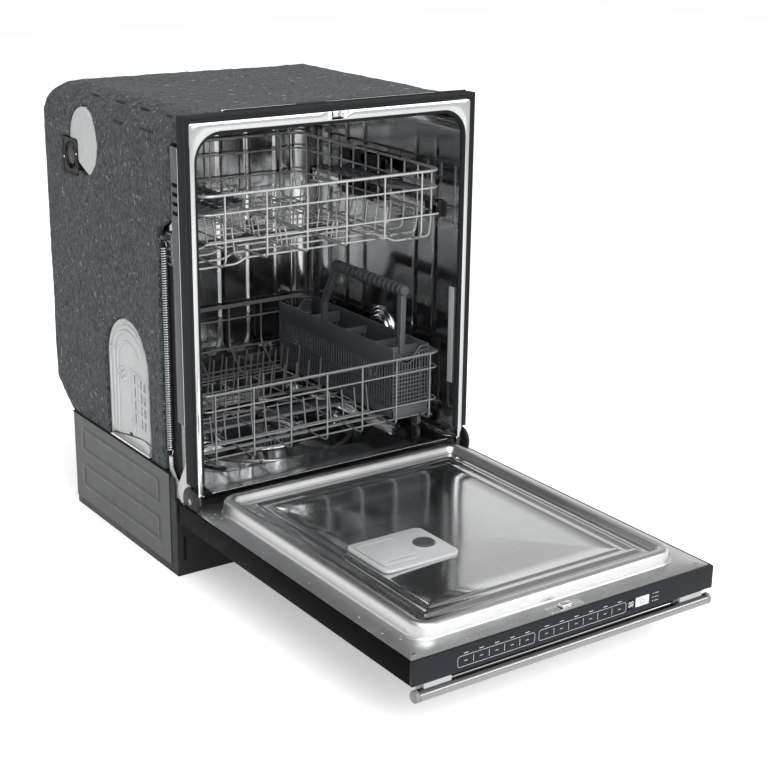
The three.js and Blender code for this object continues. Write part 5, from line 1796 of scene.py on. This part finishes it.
def make_marks(key, y):
    """The console's print: two rows of outlined pads with their lamps, and three status lamps."""
    shape = Shape()
    z0, z1 = key.z0 - 2.5, key.z1 - 1
    for x0, x1, pads in ((-221, -75, 5), (-67, 111, 6)):
        loop = rounded(x0, x1, z0, z1, 4.5, 6)
        shape.tube(lifted("y", loop, y + 0.1), 0.32, 6, closed=True)
        for x in between(x0, x1, pads + 1)[1:-1]:
            shape.box(x - 0.3, x + 0.3, y, y + RELIEF, z0 + 3, z1 - 3, 0.05)
    for x in between(-206, -90, 5) + between(-52, 97, 6):
        for half, low, high in ((4.2, z1 + 3.4, z1 + 4.3),
                                (3.0, (z0 + z1) / 2 - 0.4, (z0 + z1) / 2 + 0.4)):
            shape.box(x - half, x + half, y, y + RELIEF, low, high, 0.05)
    for z in between(key.z0 + 1.5, key.z1 - 1.5, 3):
        shape.box(168, 169.6, y, y + RELIEF, z - 0.8, z + 0.8, 0.1)
        shape.box(172, 181, y, y + RELIEF, z - 0.35, z + 0.35, 0.05)
    piece("console_marks", shape, PRINT, "door")


def make_console():
    """The console and its shell, the outer panel's folded edge, the print and the display."""
    dress("console", CONSOLE, 1.2)
    dress("start_key", KEY, 0.9)
    dress("door_shell", BLACK_GLOSS, 1.0)
    panel = Span("outer_panel")
    inset = 7.0  # hidden by the black shell's edge from above
    skin = Shape().box(panel.x0 + inset, panel.x1 - inset, panel.y0, panel.y1, panel.z0, panel.z1,
                       1.2, 2)
    skin.box(-228, 228, panel.y0 - 43, panel.y0 + 1, panel.z1 - 1.6, panel.z1, 0.4)
    skin.box(-228, 228, panel.y0 - 43.4, panel.y0 - 42, 99.8, panel.z1, 0.3)
    piece("outer_skin", skin, BRUSHED, "door", "outer_panel")
    key = Span("start_key")
    y = Span("console").y0 - 0.12
    make_marks(key, y)
    window = Shape().box(115.5, 127.5, y - 0.05, y + 0.2, key.z0 - 0.5, key.z1 + 0.5, 0.05, 1.5)
    piece("display_window", window, HOLE_SHADE_AND_DISPLAY_BLACK, "door")
    figures = Shape()
    for x in (118.9, 124.3):
        digit(figures, x, (key.z0 + key.z1) / 2, y - 0.15)
    piece("display_figures", figures, KEY, "door")
    turn = arc(key.x, key.z, 4.2, 0.6 + math.pi / 2, 2.5 * math.pi - 0.6, 22)
    mark = Shape().tube(lifted("y", turn, key.y0 - 0.05), 0.35, 6)
    mark.box(key.x - 0.35, key.x + 0.35, key.y0 - 0.2, key.y0 + 0.1, key.z + 1, key.z + 5, 0.05)
    piece("start_symbol", mark, CONSOLE, "start_key")


def make_handle():
    """The bar handle with its end caps and posts, and the hinge arms with their rivets."""
    bar = Span("handle_bar")
    radius, centre = (bar.z1 - bar.z0) / 2, (bar.y, bar.z)
    cap = 7.0
    count = max(2, int((bar.x1 - bar.x0 - 2 * cap) / 12))
    rod = [(radius, x) for x in between(bar.x0 + cap, bar.x1 - cap, count)]
    piece("handle_tube", Shape().lathe("x", centre, rod, 48), BRUSHED, "door",
          "handle_bar")
    ends = Shape()
    for inward, edge in ((1, bar.x0), (-1, bar.x1)):
        profile = [(radius - less, edge + inward * depth) for less, depth in (
            (0.8, cap + 1), (0.5, cap - 0.4), (0, cap - 0.8), (0, 1.4), (0.5, 0.4), (1.6, 0))]
        ends.lathe("x", centre, [*profile, (0.02, edge)], 48)
    piece("handle_caps", ends, CAP_GREY, "door", "handle_bar", 40)
    for side, sign in SIDES:
        dress("handle_post_" + side, POST_GREY, 1.6)
        dress("hinge_arm_" + side, BLACK, 0.8)
        arm = Span("hinge_arm_" + side)
        face = arm.x0 if sign < 0 else arm.x1
        rivet = [(r, face + sign * depth) for r, depth in (
            (5.4, 0.1), (5.4, 0.5), (4.2, 0.8), (1.6, 0.8), (0.02, 0.3))]
        head = Shape().lathe("x", (13.5, 164.5), rivet, 24)
        piece("hinge_rivet_" + side, head, ZINC, "door")


# ---------------------------------------------------------------- assembly
make_tub()
make_wall_vent()
make_blanket()
make_springs()
make_duct()
make_chamber()
make_base()
make_arms()
make_upper_rack()
for side_name, side_sign in SIDES:
    make_shelf(side_name, side_sign)
    make_carriage(side_name, side_sign)
make_lower_rack()
make_wheels()
make_basket()
make_liner()
make_dispenser()
make_console()
make_handle()
